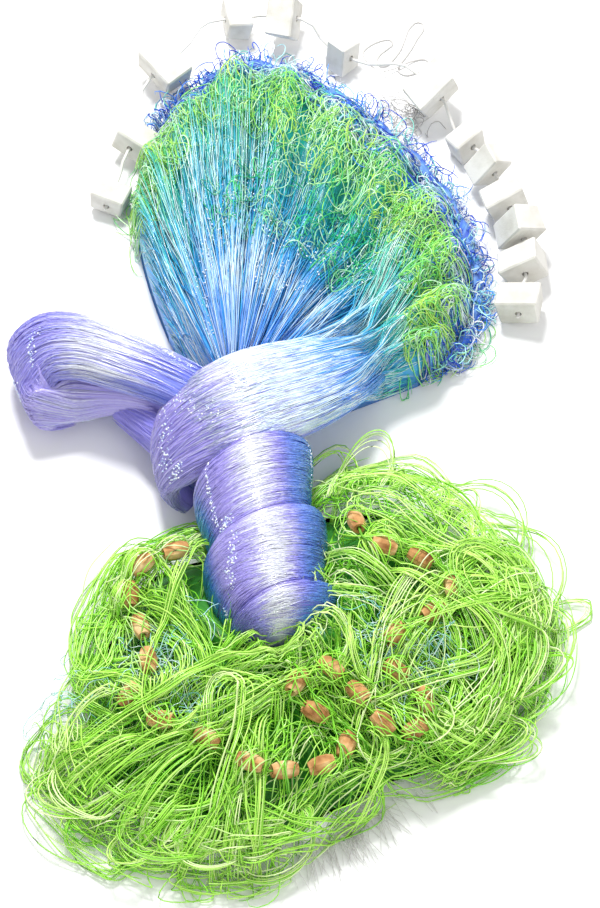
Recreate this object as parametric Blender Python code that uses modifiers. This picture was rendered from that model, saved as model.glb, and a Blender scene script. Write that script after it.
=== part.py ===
"""A gathered trammel net, put away as one knotted hank that lies on the floor.

The inner netting is pulled together, knotted on itself with a bight left out to one side, wound three times
round its own core and fanned out at its head. The head of the fan carries the hanging twine, the headline
and its foam floats. The foot of the outer walls is heaped round the wound end, with the leadline and its
fired clay sinkers on the heap.

Metres, +Z up. The origin is on the floor under the middle of the hank, +Y runs towards the floats.
"""

import math

import bmesh
import bpy
from mathutils import Matrix, Vector
from mathutils.bvhtree import BVHTree

# Clearances between pieces
TOUCH_GAP = 0.0006
NOTCH_GAP = 0.0022

# Wound trunk: a core with overlapping wraps
TRUNK_HEAD = Vector((-0.022, -0.045, 0.041))
TRUNK_FOOT = Vector((0.003, -0.213, 0.036))
TRUNK_HALF_WIDTH = 0.033
TRUNK_HALF_HEIGHT = 0.037
TRUNK_SPREAD = 0.08
TRUNK_ROUNDING = 0.24
TRUNK_END_DROP = 0.94
WRAP_PITCH = 0.058
WRAP_LIFT = 0.0085
WRAP_START = 0.50

# Fan: the netting spread from its root to its head
FAN_ROOT = Vector((-0.030, -0.040, 0.0))
FAN_ROOT_REACH = 0.022
FAN_HEIGHTS = ((0.0, 0.066), (0.22, 0.060), (0.5, 0.050), (0.8, 0.046), (1.0, 0.036))
HOLLOW_BEARING, HOLLOW_AT, HOLLOW_DEPTH = 17.0, 0.66, 0.024
HOLLOW_SPREAD, HOLLOW_LENGTH = 21.0, 0.17
FAN_STEPS_A_FOLD = 2
FAN_STATIONS = (0.0, 0.10, 0.22, 0.36, 0.50, 0.58, 0.67, 0.76, 0.84, 0.92, 0.98, 1.0)

# The outer walls' head lies over the fan from one share of its reach to another
WALL_FROM, WALL_SIDE_FROM, WALL_TO, WALL_THICK = 0.50, 0.66, 0.92, 0.009

# Hanging twine round the head of the fan
TWINE_RADIUS = 0.0125
TWINE_LUMPS = 0.0022
TWINE_FROM, TWINE_TO = 2.9, 0.8

# Floats, sinkers and lines
FLOAT_THICK, FLOAT_WIDE, FLOAT_HIGH = 0.021, 0.030, 0.025
FLOAT_BORE, SINKER_BORE = 0.0026, 0.0019
SINKER_LENGTH, SINKER_RADIUS, SINKER_END_RADIUS = 0.0175, 0.0062, 0.0042
HEADLINE_RADIUS, LEADLINE_RADIUS, TIE_RADIUS = 0.0012, 0.0008, 0.0007

# Each row is one radial fold of the fan: bearing from +Y towards +X, reach to the head, height of its crest.
FOLD_COLUMNS = ("bearing", "reach", "crest")
FOLDS = (
    (-28.0, 0.095, 0.001),
    (-22.0, 0.205, 0.005),
    (-16.5, 0.255, 0.008),
    (-9.0, 0.296, 0.006),
    (-1.0, 0.334, 0.008),
    (7.0, 0.333, 0.007),
    (16.0, 0.306, 0.005),
    (26.0, 0.280, 0.008),
    (37.0, 0.254, 0.005),
    (47.0, 0.226, 0.008),
    (56.0, 0.198, 0.007),
    (64.0, 0.160, 0.005),
    (71.0, 0.105, 0.001),
)

# Gathered stretches of the netting: centre, half width across, half thickness of each section.
SECTION_COLUMNS = ("x", "y", "z", "half_width", "half_thick")
BIGHT = (
    (-0.045, -0.032, 0.056, 0.018, 0.016),
    (-0.078, -0.012, 0.057, 0.019, 0.016),
    (-0.112, 0.003, 0.057, 0.021, 0.017),
    (-0.140, 0.015, 0.056, 0.024, 0.016),
    (-0.163, 0.018, 0.050, 0.027, 0.014),
    (-0.177, 0.010, 0.034, 0.030, 0.012),
    (-0.165, 0.001, 0.018, 0.031, 0.012),
    (-0.142, -0.001, 0.015, 0.021, 0.010),
)
BIGHT_RETURN = (
    (-0.166, 0.000, 0.025, 0.026, 0.018),
    (-0.140, 0.000, 0.025, 0.023, 0.019),
    (-0.117, -0.005, 0.031, 0.016, 0.017),
    (-0.097, -0.013, 0.038, 0.012, 0.014),
    (-0.076, -0.024, 0.044, 0.010, 0.012),
)
SHOULDER = (
    (0.074, 0.034, 0.026, 0.016, 0.010),
    (0.050, 0.010, 0.040, 0.026, 0.017),
    (0.022, -0.014, 0.055, 0.033, 0.020),
    (-0.010, -0.034, 0.066, 0.038, 0.021),
    (-0.040, -0.047, 0.063, 0.038, 0.021),
    (-0.065, -0.058, 0.048, 0.034, 0.017),
    (-0.073, -0.067, 0.028, 0.029, 0.013),
    (-0.058, -0.075, 0.012, 0.025, 0.010),
)
NECK = (
    (-0.112, -0.013, 0.022, 0.010, 0.012),
    (-0.089, -0.028, 0.026, 0.017, 0.017),
    (-0.065, -0.047, 0.030, 0.022, 0.021),
    (-0.042, -0.070, 0.033, 0.023, 0.024),
    (-0.024, -0.096, 0.035, 0.021, 0.024),
    (-0.010, -0.120, 0.036, 0.018, 0.022),
)

DOWN_TRUNK = (TRUNK_FOOT - TRUNK_HEAD).normalized()
ACROSS_BIGHT = Vector((0.35, -0.94, 0.0))
ACROSS_NECK = Vector((0.75, 0.66, 0.0))

# Heap of the outer walls: reach and height of the heap at each bearing, one row for each lobe or dip.
HEAP_CENTRE = Vector((0.004, -0.238, 0.0))
HEAP_FOLDS = 0.0038
LOBE_COLUMNS = ("bearing", "reach", "height")
LOBES = (
    (-170.0, 0.130, 0.048),
    (-150.0, 0.143, 0.046),
    (-128.0, 0.158, 0.044),
    (-106.0, 0.168, 0.048),
    (-84.0, 0.158, 0.044),
    (-62.0, 0.158, 0.050),
    (-42.0, 0.166, 0.052),
    (-25.0, 0.154, 0.046),
    (-6.0, 0.110, 0.044),
    (12.0, 0.186, 0.048),
    (27.0, 0.208, 0.056),
    (42.0, 0.208, 0.058),
    (58.0, 0.204, 0.056),
    (74.0, 0.194, 0.052),
    (90.0, 0.172, 0.052),
    (108.0, 0.148, 0.046),
    (132.0, 0.108, 0.046),
    (160.0, 0.106, 0.048),
)

# Floats in their order along the headline: centre, turn about Z, tilt, roll about the bore.
FLOAT_COLUMNS = ("x", "y", "lift", "yaw", "tilt", "roll", "size")
FLOATS = (
    (-0.127, 0.182, 0.000, 70, 4, 8, 0.85),
    (-0.110, 0.232, 0.001, 66, -6, 20, 0.90),
    (-0.089, 0.302, 0.004, 42, 10, 18, 1.15),
    (-0.034, 0.356, 0.002, 14, -8, 8, 0.90),
    (0.003, 0.350, 0.006, -14, 8, 34, 1.05),
    (0.049, 0.321, 0.001, -38, 6, 76, 0.85),
    (0.117, 0.276, 0.004, -48, -10, 28, 1.15),
    (0.143, 0.236, 0.000, -52, 8, 10, 0.85),
    (0.158, 0.205, 0.004, -58, -8, 52, 0.90),
    (0.170, 0.176, 0.002, -70, 6, 20, 1.00),
    (0.179, 0.144, 0.005, -74, -10, 64, 1.00),
    (0.181, 0.116, 0.000, -84, 4, 30, 1.00),
    (0.177, 0.082, 0.000, -98, -4, 12, 1.00),
)

# Sinkers in their order along the leadline: place on the heap and turn about Z.
SINKER_COLUMNS = ("x", "y", "yaw")
SINKERS = (
    (-0.068, -0.146, -160),
    (-0.090, -0.158, -142),
    (-0.098, -0.178, -84),
    (-0.090, -0.203, -72),
    (-0.084, -0.230, -82),
    (-0.096, -0.254, -122),
    (-0.074, -0.274, -10),
    (-0.044, -0.286, -28),
    (-0.016, -0.306, -20),
    (0.006, -0.309, 12),
    (0.030, -0.306, 18),
    (0.046, -0.290, 74),
    (0.026, -0.270, 160),
    (0.014, -0.249, 60),
    (0.036, -0.240, -34),
    (0.054, -0.257, -50),
    (0.070, -0.276, -38),
    (0.091, -0.279, 32),
    (0.098, -0.258, 108),
    (0.079, -0.240, 146),
    (0.078, -0.216, 52),
    (0.104, -0.198, 30),
    (0.118, -0.176, 96),
    (0.097, -0.156, 152),
    (0.072, -0.150, 168),
    (0.054, -0.128, 104),
)

# Loose tie cord: points by hand along three narrow loops that lie on the floor.
TIE_POINTS = (
    (0.0860, 0.3080, 0.0100),
    (0.0810, 0.3130, 0.0050),
    (0.0735, 0.3200, 0.0012),
    (0.0675, 0.3275, 0.0008),
    (0.0660, 0.3355, 0.0008),
    (0.0720, 0.3425, 0.0008),
    (0.0800, 0.3470, 0.0008),
    (0.0870, 0.3480, 0.0008),
    (0.0895, 0.3435, 0.0008),
    (0.0850, 0.3385, 0.0008),
    (0.0795, 0.3330, 0.0008),
    (0.0765, 0.3265, 0.0010),
    (0.0790, 0.3205, 0.0014),
    (0.0850, 0.3215, 0.0010),
    (0.0905, 0.3290, 0.0008),
    (0.0955, 0.3375, 0.0008),
    (0.0990, 0.3480, 0.0008),
    (0.1025, 0.3590, 0.0008),
    (0.1080, 0.3660, 0.0008),
    (0.1135, 0.3650, 0.0008),
    (0.1140, 0.3580, 0.0008),
    (0.1090, 0.3490, 0.0008),
    (0.1050, 0.3400, 0.0008),
    (0.1000, 0.3310, 0.0008),
    (0.0950, 0.3225, 0.0008),
    (0.0935, 0.3155, 0.0008),
    (0.0985, 0.3115, 0.0008),
    (0.1055, 0.3130, 0.0008),
    (0.1125, 0.3165, 0.0008),
    (0.1175, 0.3215, 0.0008),
    (0.1160, 0.3270, 0.0008),
    (0.1100, 0.3275, 0.0010),
    (0.1030, 0.3245, 0.0018),
    (0.0970, 0.3205, 0.0030),
    (0.0905, 0.3165, 0.0030),
    (0.0850, 0.3135, 0.0044),
    (0.0790, 0.3095, 0.0052),
    (0.0735, 0.3055, 0.0040),
)


def rows(table, columns):
    """The table as dictionaries, one for each row."""
    return [dict(zip(columns, row)) for row in table]


def along(values, place):
    """A value at a fractional place in a list, on a smooth curve through the list's values."""
    last = len(values) - 1
    place = min(max(place, 0.0), last)
    left = min(int(place), last - 1)
    t = place - left
    before, start = values[max(left - 1, 0)], values[left]
    end, after = values[left + 1], values[min(left + 2, last)]
    return 0.5 * (
        2 * start
        + (end - before) * t
        + (2 * before - 5 * start + 4 * end - after) * t * t
        + (3 * start - 3 * end + after - before) * t**3
    )


def new_material(name, colour, roughness):
    material = bpy.data.materials.new(name)
    material.use_nodes = True
    shader = material.node_tree.nodes["Principled BSDF"]
    shader.inputs["Base Color"].default_value = (*colour, 1.0)
    shader.inputs["Roughness"].default_value = roughness
    return material


def new_object(name, data, collection, material=None):
    made = bpy.data.objects.new(name, data)
    collection.objects.link(made)
    if material:
        data.materials.append(material)
    return made


def loft(name, rings, collection, material=None):
    """A closed mesh from rings of points, with a fan of faces over each end ring."""
    mesh = bmesh.new()
    laid = [[mesh.verts.new(point) for point in ring] for ring in rings]
    count = len(rings[0])
    for near, far in zip(laid, laid[1:]):
        for i in range(count):
            j = (i + 1) % count
            mesh.faces.new((near[i], near[j], far[j], far[i]))
    for ring in (laid[0], laid[-1]):
        middle = mesh.verts.new(sum((v.co for v in ring), Vector()) / count)
        for i in range(count):
            mesh.faces.new((ring[i], ring[(i + 1) % count], middle))
    bmesh.ops.triangulate(mesh, faces=mesh.faces)
    bmesh.ops.recalc_face_normals(mesh, faces=mesh.faces)
    data = bpy.data.meshes.new(name)
    mesh.to_mesh(data)
    mesh.free()
    data.shade_smooth()
    return new_object(name, data, collection, material)


def boolean(target, cutter, operation):
    modifier = target.modifiers.new(cutter.name, "BOOLEAN")
    modifier.operation = operation
    modifier.object = cutter
    cutter.hide_render = True
    cutter.display_type = "WIRE"


def on_floor(point, floor=0.0):
    """Cloth that would sink into the floor lies flat on it instead."""
    return Vector((point.x, point.y, max(point.z, floor)))


def oval_ring(centre, across, up, half_width, half_thick, sides, floor=0.0):
    ring = []
    for i in range(sides):
        angle = 2 * math.pi * i / sides
        offset = across * (half_width * math.cos(angle)) + up * (half_thick * math.sin(angle))
        ring.append(on_floor(centre + offset, floor))
    return ring


def wrap_lift(turns):
    """Height of a wrap over its core: steep at its upper edge, then falling to where the next one tucks it in."""
    across = turns % 1.0
    return WRAP_LIFT * math.sin(math.pi * across**0.45)


def trunk_rings(grow=0.0, stations=34, sides=20):
    """Rings down the trunk, whose wraps run as a helix; the foot narrows to a rounded end."""
    run = TRUNK_FOOT - TRUNK_HEAD
    length = run.length
    heading = run.normalized()
    across = heading.cross(Vector((0, 0, 1))).normalized()
    up = across.cross(heading)
    rings = []
    for i in range(stations):
        share = i / (stations - 1)
        share = share + 0.35 * share * (1 - share) * (share - 0.3)
        into_end = max(0.0, (share - (1 - TRUNK_ROUNDING)) / TRUNK_ROUNDING)
        taper = math.sqrt(max(0.0, 1 - TRUNK_END_DROP * into_end**2.6)) * (1 + TRUNK_SPREAD * share)
        centre = TRUNK_HEAD + run * share + heading * (2 * grow * into_end**8)
        ring = []
        for j in range(sides):
            angle = 2 * math.pi * j / sides
            turns = WRAP_START + share * length / WRAP_PITCH + angle / (2 * math.pi)
            lift = wrap_lift(turns)
            wide = ((TRUNK_HALF_WIDTH + lift) * taper + grow) * math.sin(angle)
            high = ((TRUNK_HALF_HEIGHT + lift) * taper + grow) * math.cos(angle)
            ring.append(on_floor(centre + across * -wide + up * high, -grow))
        rings.append(ring)
    return rings


def bundle_rings(table, across_hint, stations, sides=14, grow=0.0):
    """Rings along a gathered stretch of netting; the hint says which way its width lies."""
    sections = rows(table, SECTION_COLUMNS)
    centres = [Vector((s["x"], s["y"], s["z"])) for s in sections]
    widths = [s["half_width"] + grow for s in sections]
    thicks = [s["half_thick"] + grow for s in sections]
    last = len(sections) - 1
    rings = []
    for i in range(stations):
        place = last * i / (stations - 1)
        heading = (along(centres, place + 0.05) - along(centres, place - 0.05)).normalized()
        across = (across_hint - heading * across_hint.dot(heading)).normalized()
        up = across.cross(heading)
        middle, half_width, half_thick = (along(values, place) for values in (centres, widths, thicks))
        middle = middle + heading * (grow * (2 * i / (stations - 1) - 1))
        rings.append(oval_ring(middle, across, up, half_width, half_thick, sides, -grow))
    return rings


def fan_height(share, fold_place, folds):
    """Top of the fan at a share of its reach and a place among its folds."""
    heights = [(at, height) for at, height in FAN_HEIGHTS]
    below = max(i for i, (at, _) in enumerate(heights[:-1]) if at <= share)
    (at_a, height_a), (at_b, height_b) = heights[below], heights[below + 1]
    height = height_a + (height_b - height_a) * (share - at_a) / (at_b - at_a)
    crest = along([f["crest"] for f in folds], fold_place)
    spread = min(1.0, share / 0.45)
    height += crest * spread * math.cos(2 * math.pi * fold_place)
    bearing = along([f["bearing"] for f in folds], fold_place)
    off_bearing = (bearing - HOLLOW_BEARING) / HOLLOW_SPREAD
    off_reach = (share - HOLLOW_AT) / HOLLOW_LENGTH
    return height - HOLLOW_DEPTH * math.exp(-(off_bearing**2) - off_reach**2)


def fan_point(share, fold_place, height):
    """A point over the floor at a share of the fan's reach and a place among its folds."""
    folds = rows(FOLDS, FOLD_COLUMNS)
    bearing = math.radians(along([f["bearing"] for f in folds], fold_place))
    reach = along([f["reach"] for f in folds], fold_place)
    out = FAN_ROOT_REACH + (reach - FAN_ROOT_REACH) * share
    return FAN_ROOT + Vector((math.sin(bearing) * out, math.cos(bearing) * out, height))


def fan_places():
    count = (len(FOLDS) - 1) * FAN_STEPS_A_FOLD
    return [i / FAN_STEPS_A_FOLD for i in range(count + 1)]


def bent_share(station, place):
    """Share of the fan's reach at a station, bent so that the wall's inner edge is always at WALL_FROM."""
    last = len(FOLDS) - 1
    inner = WALL_FROM + (WALL_SIDE_FROM - WALL_FROM) * (2 * place / last - 1) ** 2
    if station <= WALL_FROM:
        return station / WALL_FROM * inner
    if station <= WALL_TO:
        return inner + (WALL_TO - inner) * (station - WALL_FROM) / (WALL_TO - WALL_FROM)
    return station


def fan_top(share, place, folds):
    """Height of the fan, rounded off at its two sides and at its head."""
    last = len(folds) - 1
    side = min(place, last - place)
    rounding = math.sqrt(min(1.0, side / 1.2)) if side < 1.2 else 1.0
    head = math.sqrt(max(0.0, 1 - ((share - 0.92) / 0.11) ** 2)) if share > 0.92 else 1.0
    return max(0.004, fan_height(share, place, folds) * rounding * head)


def fan_rings():
    """Each ring crosses the fan: over its folds one way and back along the floor."""
    folds = rows(FOLDS, FOLD_COLUMNS)
    rings = []
    for station in FAN_STATIONS:
        over, under = [], []
        for place in fan_places():
            share = bent_share(station, place)
            over.append(fan_point(share, place, fan_top(share, place, folds)))
            under.append(fan_point(share, place, 0.0))
        rings.append(over + under[::-1])
    return rings


def head_wall_rings():
    """The outer walls' gathered head, a soft band over the fan just inside the hanging twine."""
    folds = rows(FOLDS, FOLD_COLUMNS)
    last = len(folds) - 1
    stations = [station for station in FAN_STATIONS if WALL_FROM <= station <= WALL_TO]
    rings = []
    for place in fan_places():
        if not 0.9 < place < last - 1.4:
            continue
        ends = math.sqrt(min(1.0, (min(place, last - place) - 0.6) / 1.2))
        under, over = [], []
        for station in stations:
            across = (station - WALL_FROM) / (WALL_TO - WALL_FROM)
            swell = math.sin(math.pi * (0.06 + 0.86 * across))
            lift = NOTCH_GAP + 0.002 + WALL_THICK * ends * swell
            share = bent_share(station, place)
            top = fan_top(share, place, folds)
            under.append(fan_point(share, place, top + NOTCH_GAP))
            over.append(fan_point(share, place, top + lift))
        rings.append(over + under[::-1])
    return rings


def hanging_twine_rings(stations=34, sides=8):
    """A lumpy cord of gathered twine along the head of the fan."""
    last = len(FOLDS) - 1
    rings = []
    centres = []
    for i in range(stations):
        place = TWINE_FROM + (last - TWINE_TO - TWINE_FROM) * i / (stations - 1)
        edge = fan_point(1.0, place, 0.0)
        outward = Vector((edge.x - FAN_ROOT.x, edge.y - FAN_ROOT.y, 0)).normalized()
        reach = TWINE_RADIUS + TWINE_LUMPS + TOUCH_GAP
        centres.append(edge + outward * reach + Vector((0, 0, 0.0125)))
    for i, centre in enumerate(centres):
        heading = (centres[min(i + 1, stations - 1)] - centres[max(i - 1, 0)]).normalized()
        across = heading.cross(Vector((0, 0, 1)))
        ends = math.sqrt(max(0.15, min(1.0, 6 * i / stations, 6 * (stations - 1 - i) / stations)))
        radius = (TWINE_RADIUS + TWINE_LUMPS * math.sin(1.7 * i) * math.cos(0.6 * i)) * ends
        rings.append(oval_ring(centre, across, Vector((0, 0, 1)), radius, radius * 1.1, sides))
    return rings


def heap_height(out, reach, height, bearing):
    """Top of the heap: nearly level, with radial folds, and steep at its edge."""
    share = min(1.0, out / reach)
    mound = height * (1 - share**3.2) ** 0.55
    folds = HEAP_FOLDS * (math.sin(9 * bearing + 1.3 + 2 * share) + 0.6 * math.sin(17 * bearing - 3 * share))
    return mound + folds * share * (1 - share) * 4


def heap_rings(bearings=48):
    """Rings round the heap, from its edge on the floor up over its top, and back under it."""
    lobes = rows(LOBES, LOBE_COLUMNS)
    shares = (1.0, 0.98, 0.91, 0.79, 0.64, 0.46, 0.27, 0.08)
    wrapped = [lobes[-1], *lobes, lobes[0], lobes[1]]
    angles = [lobe["bearing"] for lobe in wrapped]
    angles[0] -= 360
    angles[-2] += 360
    angles[-1] += 360
    rings = []
    for share in shares:
        ring = []
        for i in range(bearings):
            bearing = -170 + 360 * i / bearings
            left = max(k for k in range(1, len(wrapped) - 2) if angles[k] <= bearing + 1e-9)
            place = left + (bearing - angles[left]) / (angles[left + 1] - angles[left])
            reach = along([lobe["reach"] for lobe in wrapped], place)
            height = along([lobe["height"] for lobe in wrapped], place)
            turn = math.radians(bearing)
            top = heap_height(reach * share, reach, height, turn) if share < 1 else 0.0
            flat = Vector((math.sin(turn), math.cos(turn), 0)) * (reach * share)
            ring.append(HEAP_CENTRE + flat + Vector((0, 0, top)))
        rings.append(ring)
    return rings


def bead_axis(yaw, tilt):
    turn, rise = math.radians(yaw), math.radians(tilt)
    return Vector((math.cos(turn) * math.cos(rise), math.sin(turn) * math.cos(rise), math.sin(rise)))


def float_mesh(size, material):
    """A block cut from foam sheet: its six faces are a little out of square, and its bore will run along X."""
    mesh = bmesh.new()
    bmesh.ops.create_cube(mesh, size=size)
    for corner in mesh.verts:
        x, y, z = corner.co / size
        corner.co.y *= FLOAT_WIDE * (1 + 0.10 * z - 0.24 * x * y)
        corner.co.z *= FLOAT_HIGH * (1 + 0.16 * x)
        corner.co.x *= FLOAT_THICK
    data = bpy.data.meshes.new("foam_block")
    mesh.to_mesh(data)
    mesh.free()
    data.materials.append(material)
    return data


def bore_cutter(name, radius, length, collection):
    mesh = bmesh.new()
    bmesh.ops.create_cone(
        mesh, cap_ends=True, segments=10, radius1=radius, radius2=radius, depth=length,
        matrix=Matrix.Rotation(math.pi / 2, 4, "Y"),
    )
    data = bpy.data.meshes.new(name)
    mesh.to_mesh(data)
    mesh.free()
    return new_object(name, data, collection)


def make_floats(parts, cutters, material):
    """The floats, and for each the straight stretch of headline through its bore."""
    stretches = []
    for i, row in enumerate(rows(FLOATS, FLOAT_COLUMNS)):
        block = float_mesh(row["size"], material)
        made = new_object(f"float_{i + 1:02d}", block, parts)
        axis = bead_axis(row["yaw"], row["tilt"])
        turned = axis.to_track_quat("X", "Z").to_matrix().to_4x4()
        turned = turned @ Matrix.Rotation(math.radians(row["roll"]), 4, "X")
        lowest = min((turned @ corner.co).z for corner in block.vertices)
        made.matrix_world = Matrix.Translation((row["x"], row["y"], row["lift"] - lowest)) @ turned
        bevel = made.modifiers.new("cut edges", "BEVEL")
        bevel.width = 0.0012
        bevel.segments = 1
        bore = bore_cutter(f"bore_{i + 1:02d}", FLOAT_BORE, FLOAT_THICK * 2, cutters)
        bore.matrix_world = made.matrix_world
        boolean(made, bore, "DIFFERENCE")
        stretches.append((made.matrix_world.translation, axis, FLOAT_THICK * row["size"]))
    return stretches


def sinker_mesh(material):
    """A turned clay barrel with a bore along Z; its profile runs down the outside and up the bore."""
    half = SINKER_LENGTH / 2
    profile = (
        (SINKER_BORE, half - 0.0006), (SINKER_END_RADIUS, half), (SINKER_RADIUS * 0.93, half * 0.55),
        (SINKER_RADIUS, 0.0), (SINKER_RADIUS * 0.93, -half * 0.55), (SINKER_END_RADIUS, -half),
        (SINKER_BORE, -half + 0.0006),
    )
    data = bpy.data.meshes.new("clay_barrel")
    points = [(r, 0.0, z) for r, z in profile]
    edges = [(i, (i + 1) % len(points)) for i in range(len(points))]
    data.from_pydata(points, edges, [])
    data.materials.append(material)
    return data


def make_sinkers(parts, heap_surface, material):
    """The sinkers, each dropped on the heap and lying along its slope, and their stretches of leadline."""
    barrel = sinker_mesh(material)
    stretches = []
    for i, row in enumerate(rows(SINKERS, SINKER_COLUMNS)):
        level = bead_axis(row["yaw"], 0)
        side = Vector((-level.y, level.x, 0)) * (SINKER_RADIUS * 0.7)
        spot = Vector((row["x"], row["y"], 0))
        heights = []
        for share in (-0.5, -0.25, 0.0, 0.25, 0.5):
            under = spot + level * (share * SINKER_LENGTH)
            heights.append(max(height_of(heap_surface, under + side * k) for k in (-1, 0, 1)))
        rise = (heights[-1] - heights[0]) / SINKER_LENGTH
        axis = Vector((level.x, level.y, rise)).normalized()
        step = rise * SINKER_LENGTH / 4
        lift = max(height - step * (k - 2) for k, height in enumerate(heights))
        middle = spot + Vector((0, 0, lift + SINKER_RADIUS * 1.03 + TOUCH_GAP))
        made = new_object(f"sinker_{i + 1:02d}", barrel, parts)
        made.matrix_world = Matrix.Translation(middle) @ axis.to_track_quat("Z", "Y").to_matrix().to_4x4()
        screw = made.modifiers.new("turned", "SCREW")
        screw.axis = "Z"
        screw.steps = screw.render_steps = 10
        screw.use_merge_vertices = True
        screw.merge_threshold = 0.00005
        screw.use_smooth_shade = True
        stretches.append((middle, axis, SINKER_LENGTH))
    return stretches


def height_of(surface, spot):
    """Height of a surface under a spot, or the floor's where there is none."""
    hit = surface.ray_cast(Vector((spot.x, spot.y, 1.0)), Vector((0, 0, -1)))[0]
    return hit.z if hit else 0.0


def threaded_route(stretches, lead, spacing):
    """A smooth line straight through every bead's bore, carried a little past each end."""
    points = []
    for centre, axis, length in stretches:
        for share in (-0.5, 0.5):
            points.append(centre + axis * (share * length + math.copysign(lead, share)))
    route = []
    for i in range(len(points) - 1):
        reach = (points[i + 1] - points[i]).length
        if i % 2 == 0:
            steps = 2
            bend = [points[i], points[i], points[i + 1], points[i + 1]]
        else:
            steps = max(2, round(reach / spacing))
            axis_a, axis_b = stretches[i // 2][1], stretches[i // 2 + 1][1]
            pull = max(reach, lead * 2) * 0.45
            bend = [points[i], points[i] + axis_a * pull, points[i + 1] - axis_b * pull, points[i + 1]]
        for step in range(steps):
            t = step / steps
            weights = ((1 - t) ** 3, 3 * t * (1 - t) ** 2, 3 * t * t * (1 - t), t**3)
            route.append(sum((p * w for p, w in zip(bend, weights)), Vector()))
    return route + [points[-1]]


def clear_of(route, surface, gap):
    """The route lifted wherever it would run into the surface."""
    return [Vector((p.x, p.y, max(p.z, height_of(surface, p) + gap))) for p in route]


def smooth_route(points, spacing):
    knots = [Vector(p) for p in points]
    route = []
    for i in range(len(knots) - 1):
        steps = max(1, round((knots[i + 1] - knots[i]).length / spacing))
        route += [along(knots, i + step / steps) for step in range(steps)]
    return route + [knots[-1]]


def line_tube(name, route, radius, collection, material):
    data = bpy.data.curves.new(name, "CURVE")
    data.dimensions = "3D"
    spline = data.splines.new("POLY")
    spline.points.add(len(route) - 1)
    for point, place in zip(spline.points, route):
        point.co = (*place, 1.0)
    data.bevel_depth = radius
    data.bevel_resolution = 2
    data.use_fill_caps = True
    return new_object(name, data, collection, material)


def make_netting(parts, cutters, material):
    """The inner netting in one piece: trunk, knot, bight and fan joined."""
    netting = loft("netting", trunk_rings(), parts, material)
    joined = (
        loft("fan", fan_rings(), cutters),
        loft("shoulder", bundle_rings(SHOULDER, DOWN_TRUNK, 18), cutters),
        loft("bight", bundle_rings(BIGHT, ACROSS_BIGHT, 22), cutters),
        loft("bight_return", bundle_rings(BIGHT_RETURN, ACROSS_BIGHT, 12), cutters),
        loft("neck", bundle_rings(NECK, ACROSS_NECK, 12), cutters),
    )
    for piece in joined:
        boolean(netting, piece, "UNION")
    return netting


def make_heap(parts, cutters, material):
    """The outer walls' foot, with room left for the wound trunk."""
    heap = loft("outer_walls_foot", heap_rings(), parts, material)
    rooms = (
        loft("room_for_trunk", trunk_rings(grow=NOTCH_GAP), cutters),
        loft("room_for_shoulder", bundle_rings(SHOULDER, DOWN_TRUNK, 18, grow=NOTCH_GAP), cutters),
        loft("room_for_neck", bundle_rings(NECK, ACROSS_NECK, 12, grow=NOTCH_GAP), cutters),
    )
    for room in rooms:
        boolean(heap, room, "DIFFERENCE")
    return heap


def main():
    for old in list(bpy.data.objects):
        bpy.data.objects.remove(old, do_unlink=True)
    parts = bpy.data.collections.new("fishing_net")
    cutters = bpy.data.collections.new("shape_helpers")
    bpy.context.scene.collection.children.link(parts)
    bpy.context.scene.collection.children.link(cutters)

    nylon = new_material("violet_nylon", (0.28, 0.30, 0.75), 0.35)
    green_twine = new_material("green_twine", (0.20, 0.72, 0.08), 0.45)
    blue_twine = new_material("blue_twine", (0.05, 0.16, 0.70), 0.45)
    foam = new_material("white_foam", (0.88, 0.88, 0.85), 0.8)
    clay = new_material("fired_clay", (0.56, 0.25, 0.11), 0.75)
    white_cord = new_material("white_cord", (0.80, 0.80, 0.82), 0.6)

    make_netting(parts, cutters, nylon)
    heap = make_heap(parts, cutters, green_twine)
    loft("outer_walls_head", head_wall_rings(), parts, green_twine)
    loft("hanging_twine", hanging_twine_rings(), parts, blue_twine)

    bpy.context.view_layer.update()
    graph = bpy.context.evaluated_depsgraph_get()
    heap_surface = BVHTree.FromObject(heap, graph)
    head_stretches = make_floats(parts, cutters, foam)
    foot_stretches = make_sinkers(parts, heap_surface, clay)
    line_tube("headline", threaded_route(head_stretches, 0.003, 0.011), HEADLINE_RADIUS, parts, white_cord)
    lead_clearance = LEADLINE_RADIUS + TOUCH_GAP
    foot_route = clear_of(threaded_route(foot_stretches, 0.002, 0.009), heap_surface, lead_clearance)
    line_tube("leadline", foot_route, LEADLINE_RADIUS, parts, green_twine)
    line_tube("tie_cord", smooth_route(TIE_POINTS, 0.005), TIE_RADIUS, parts, white_cord)


main()
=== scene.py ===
import bpy
import numpy as np
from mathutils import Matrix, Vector


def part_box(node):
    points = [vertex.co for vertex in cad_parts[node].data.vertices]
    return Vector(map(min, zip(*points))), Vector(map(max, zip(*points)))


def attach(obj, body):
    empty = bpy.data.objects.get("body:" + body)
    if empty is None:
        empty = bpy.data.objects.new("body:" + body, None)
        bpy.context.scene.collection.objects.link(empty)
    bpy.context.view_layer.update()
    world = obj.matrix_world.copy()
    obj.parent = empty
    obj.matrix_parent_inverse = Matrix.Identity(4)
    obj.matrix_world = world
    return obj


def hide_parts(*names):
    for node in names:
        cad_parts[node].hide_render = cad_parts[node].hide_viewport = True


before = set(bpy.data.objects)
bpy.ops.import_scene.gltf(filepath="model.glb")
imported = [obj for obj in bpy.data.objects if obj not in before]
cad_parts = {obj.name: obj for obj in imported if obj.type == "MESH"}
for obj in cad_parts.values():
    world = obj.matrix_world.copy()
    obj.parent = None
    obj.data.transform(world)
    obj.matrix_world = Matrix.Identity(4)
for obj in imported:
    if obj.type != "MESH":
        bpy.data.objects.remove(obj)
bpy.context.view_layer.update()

rng = np.random.default_rng(47)
print("frame loaded:", len(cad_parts), "nodes")


# small helpers

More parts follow.
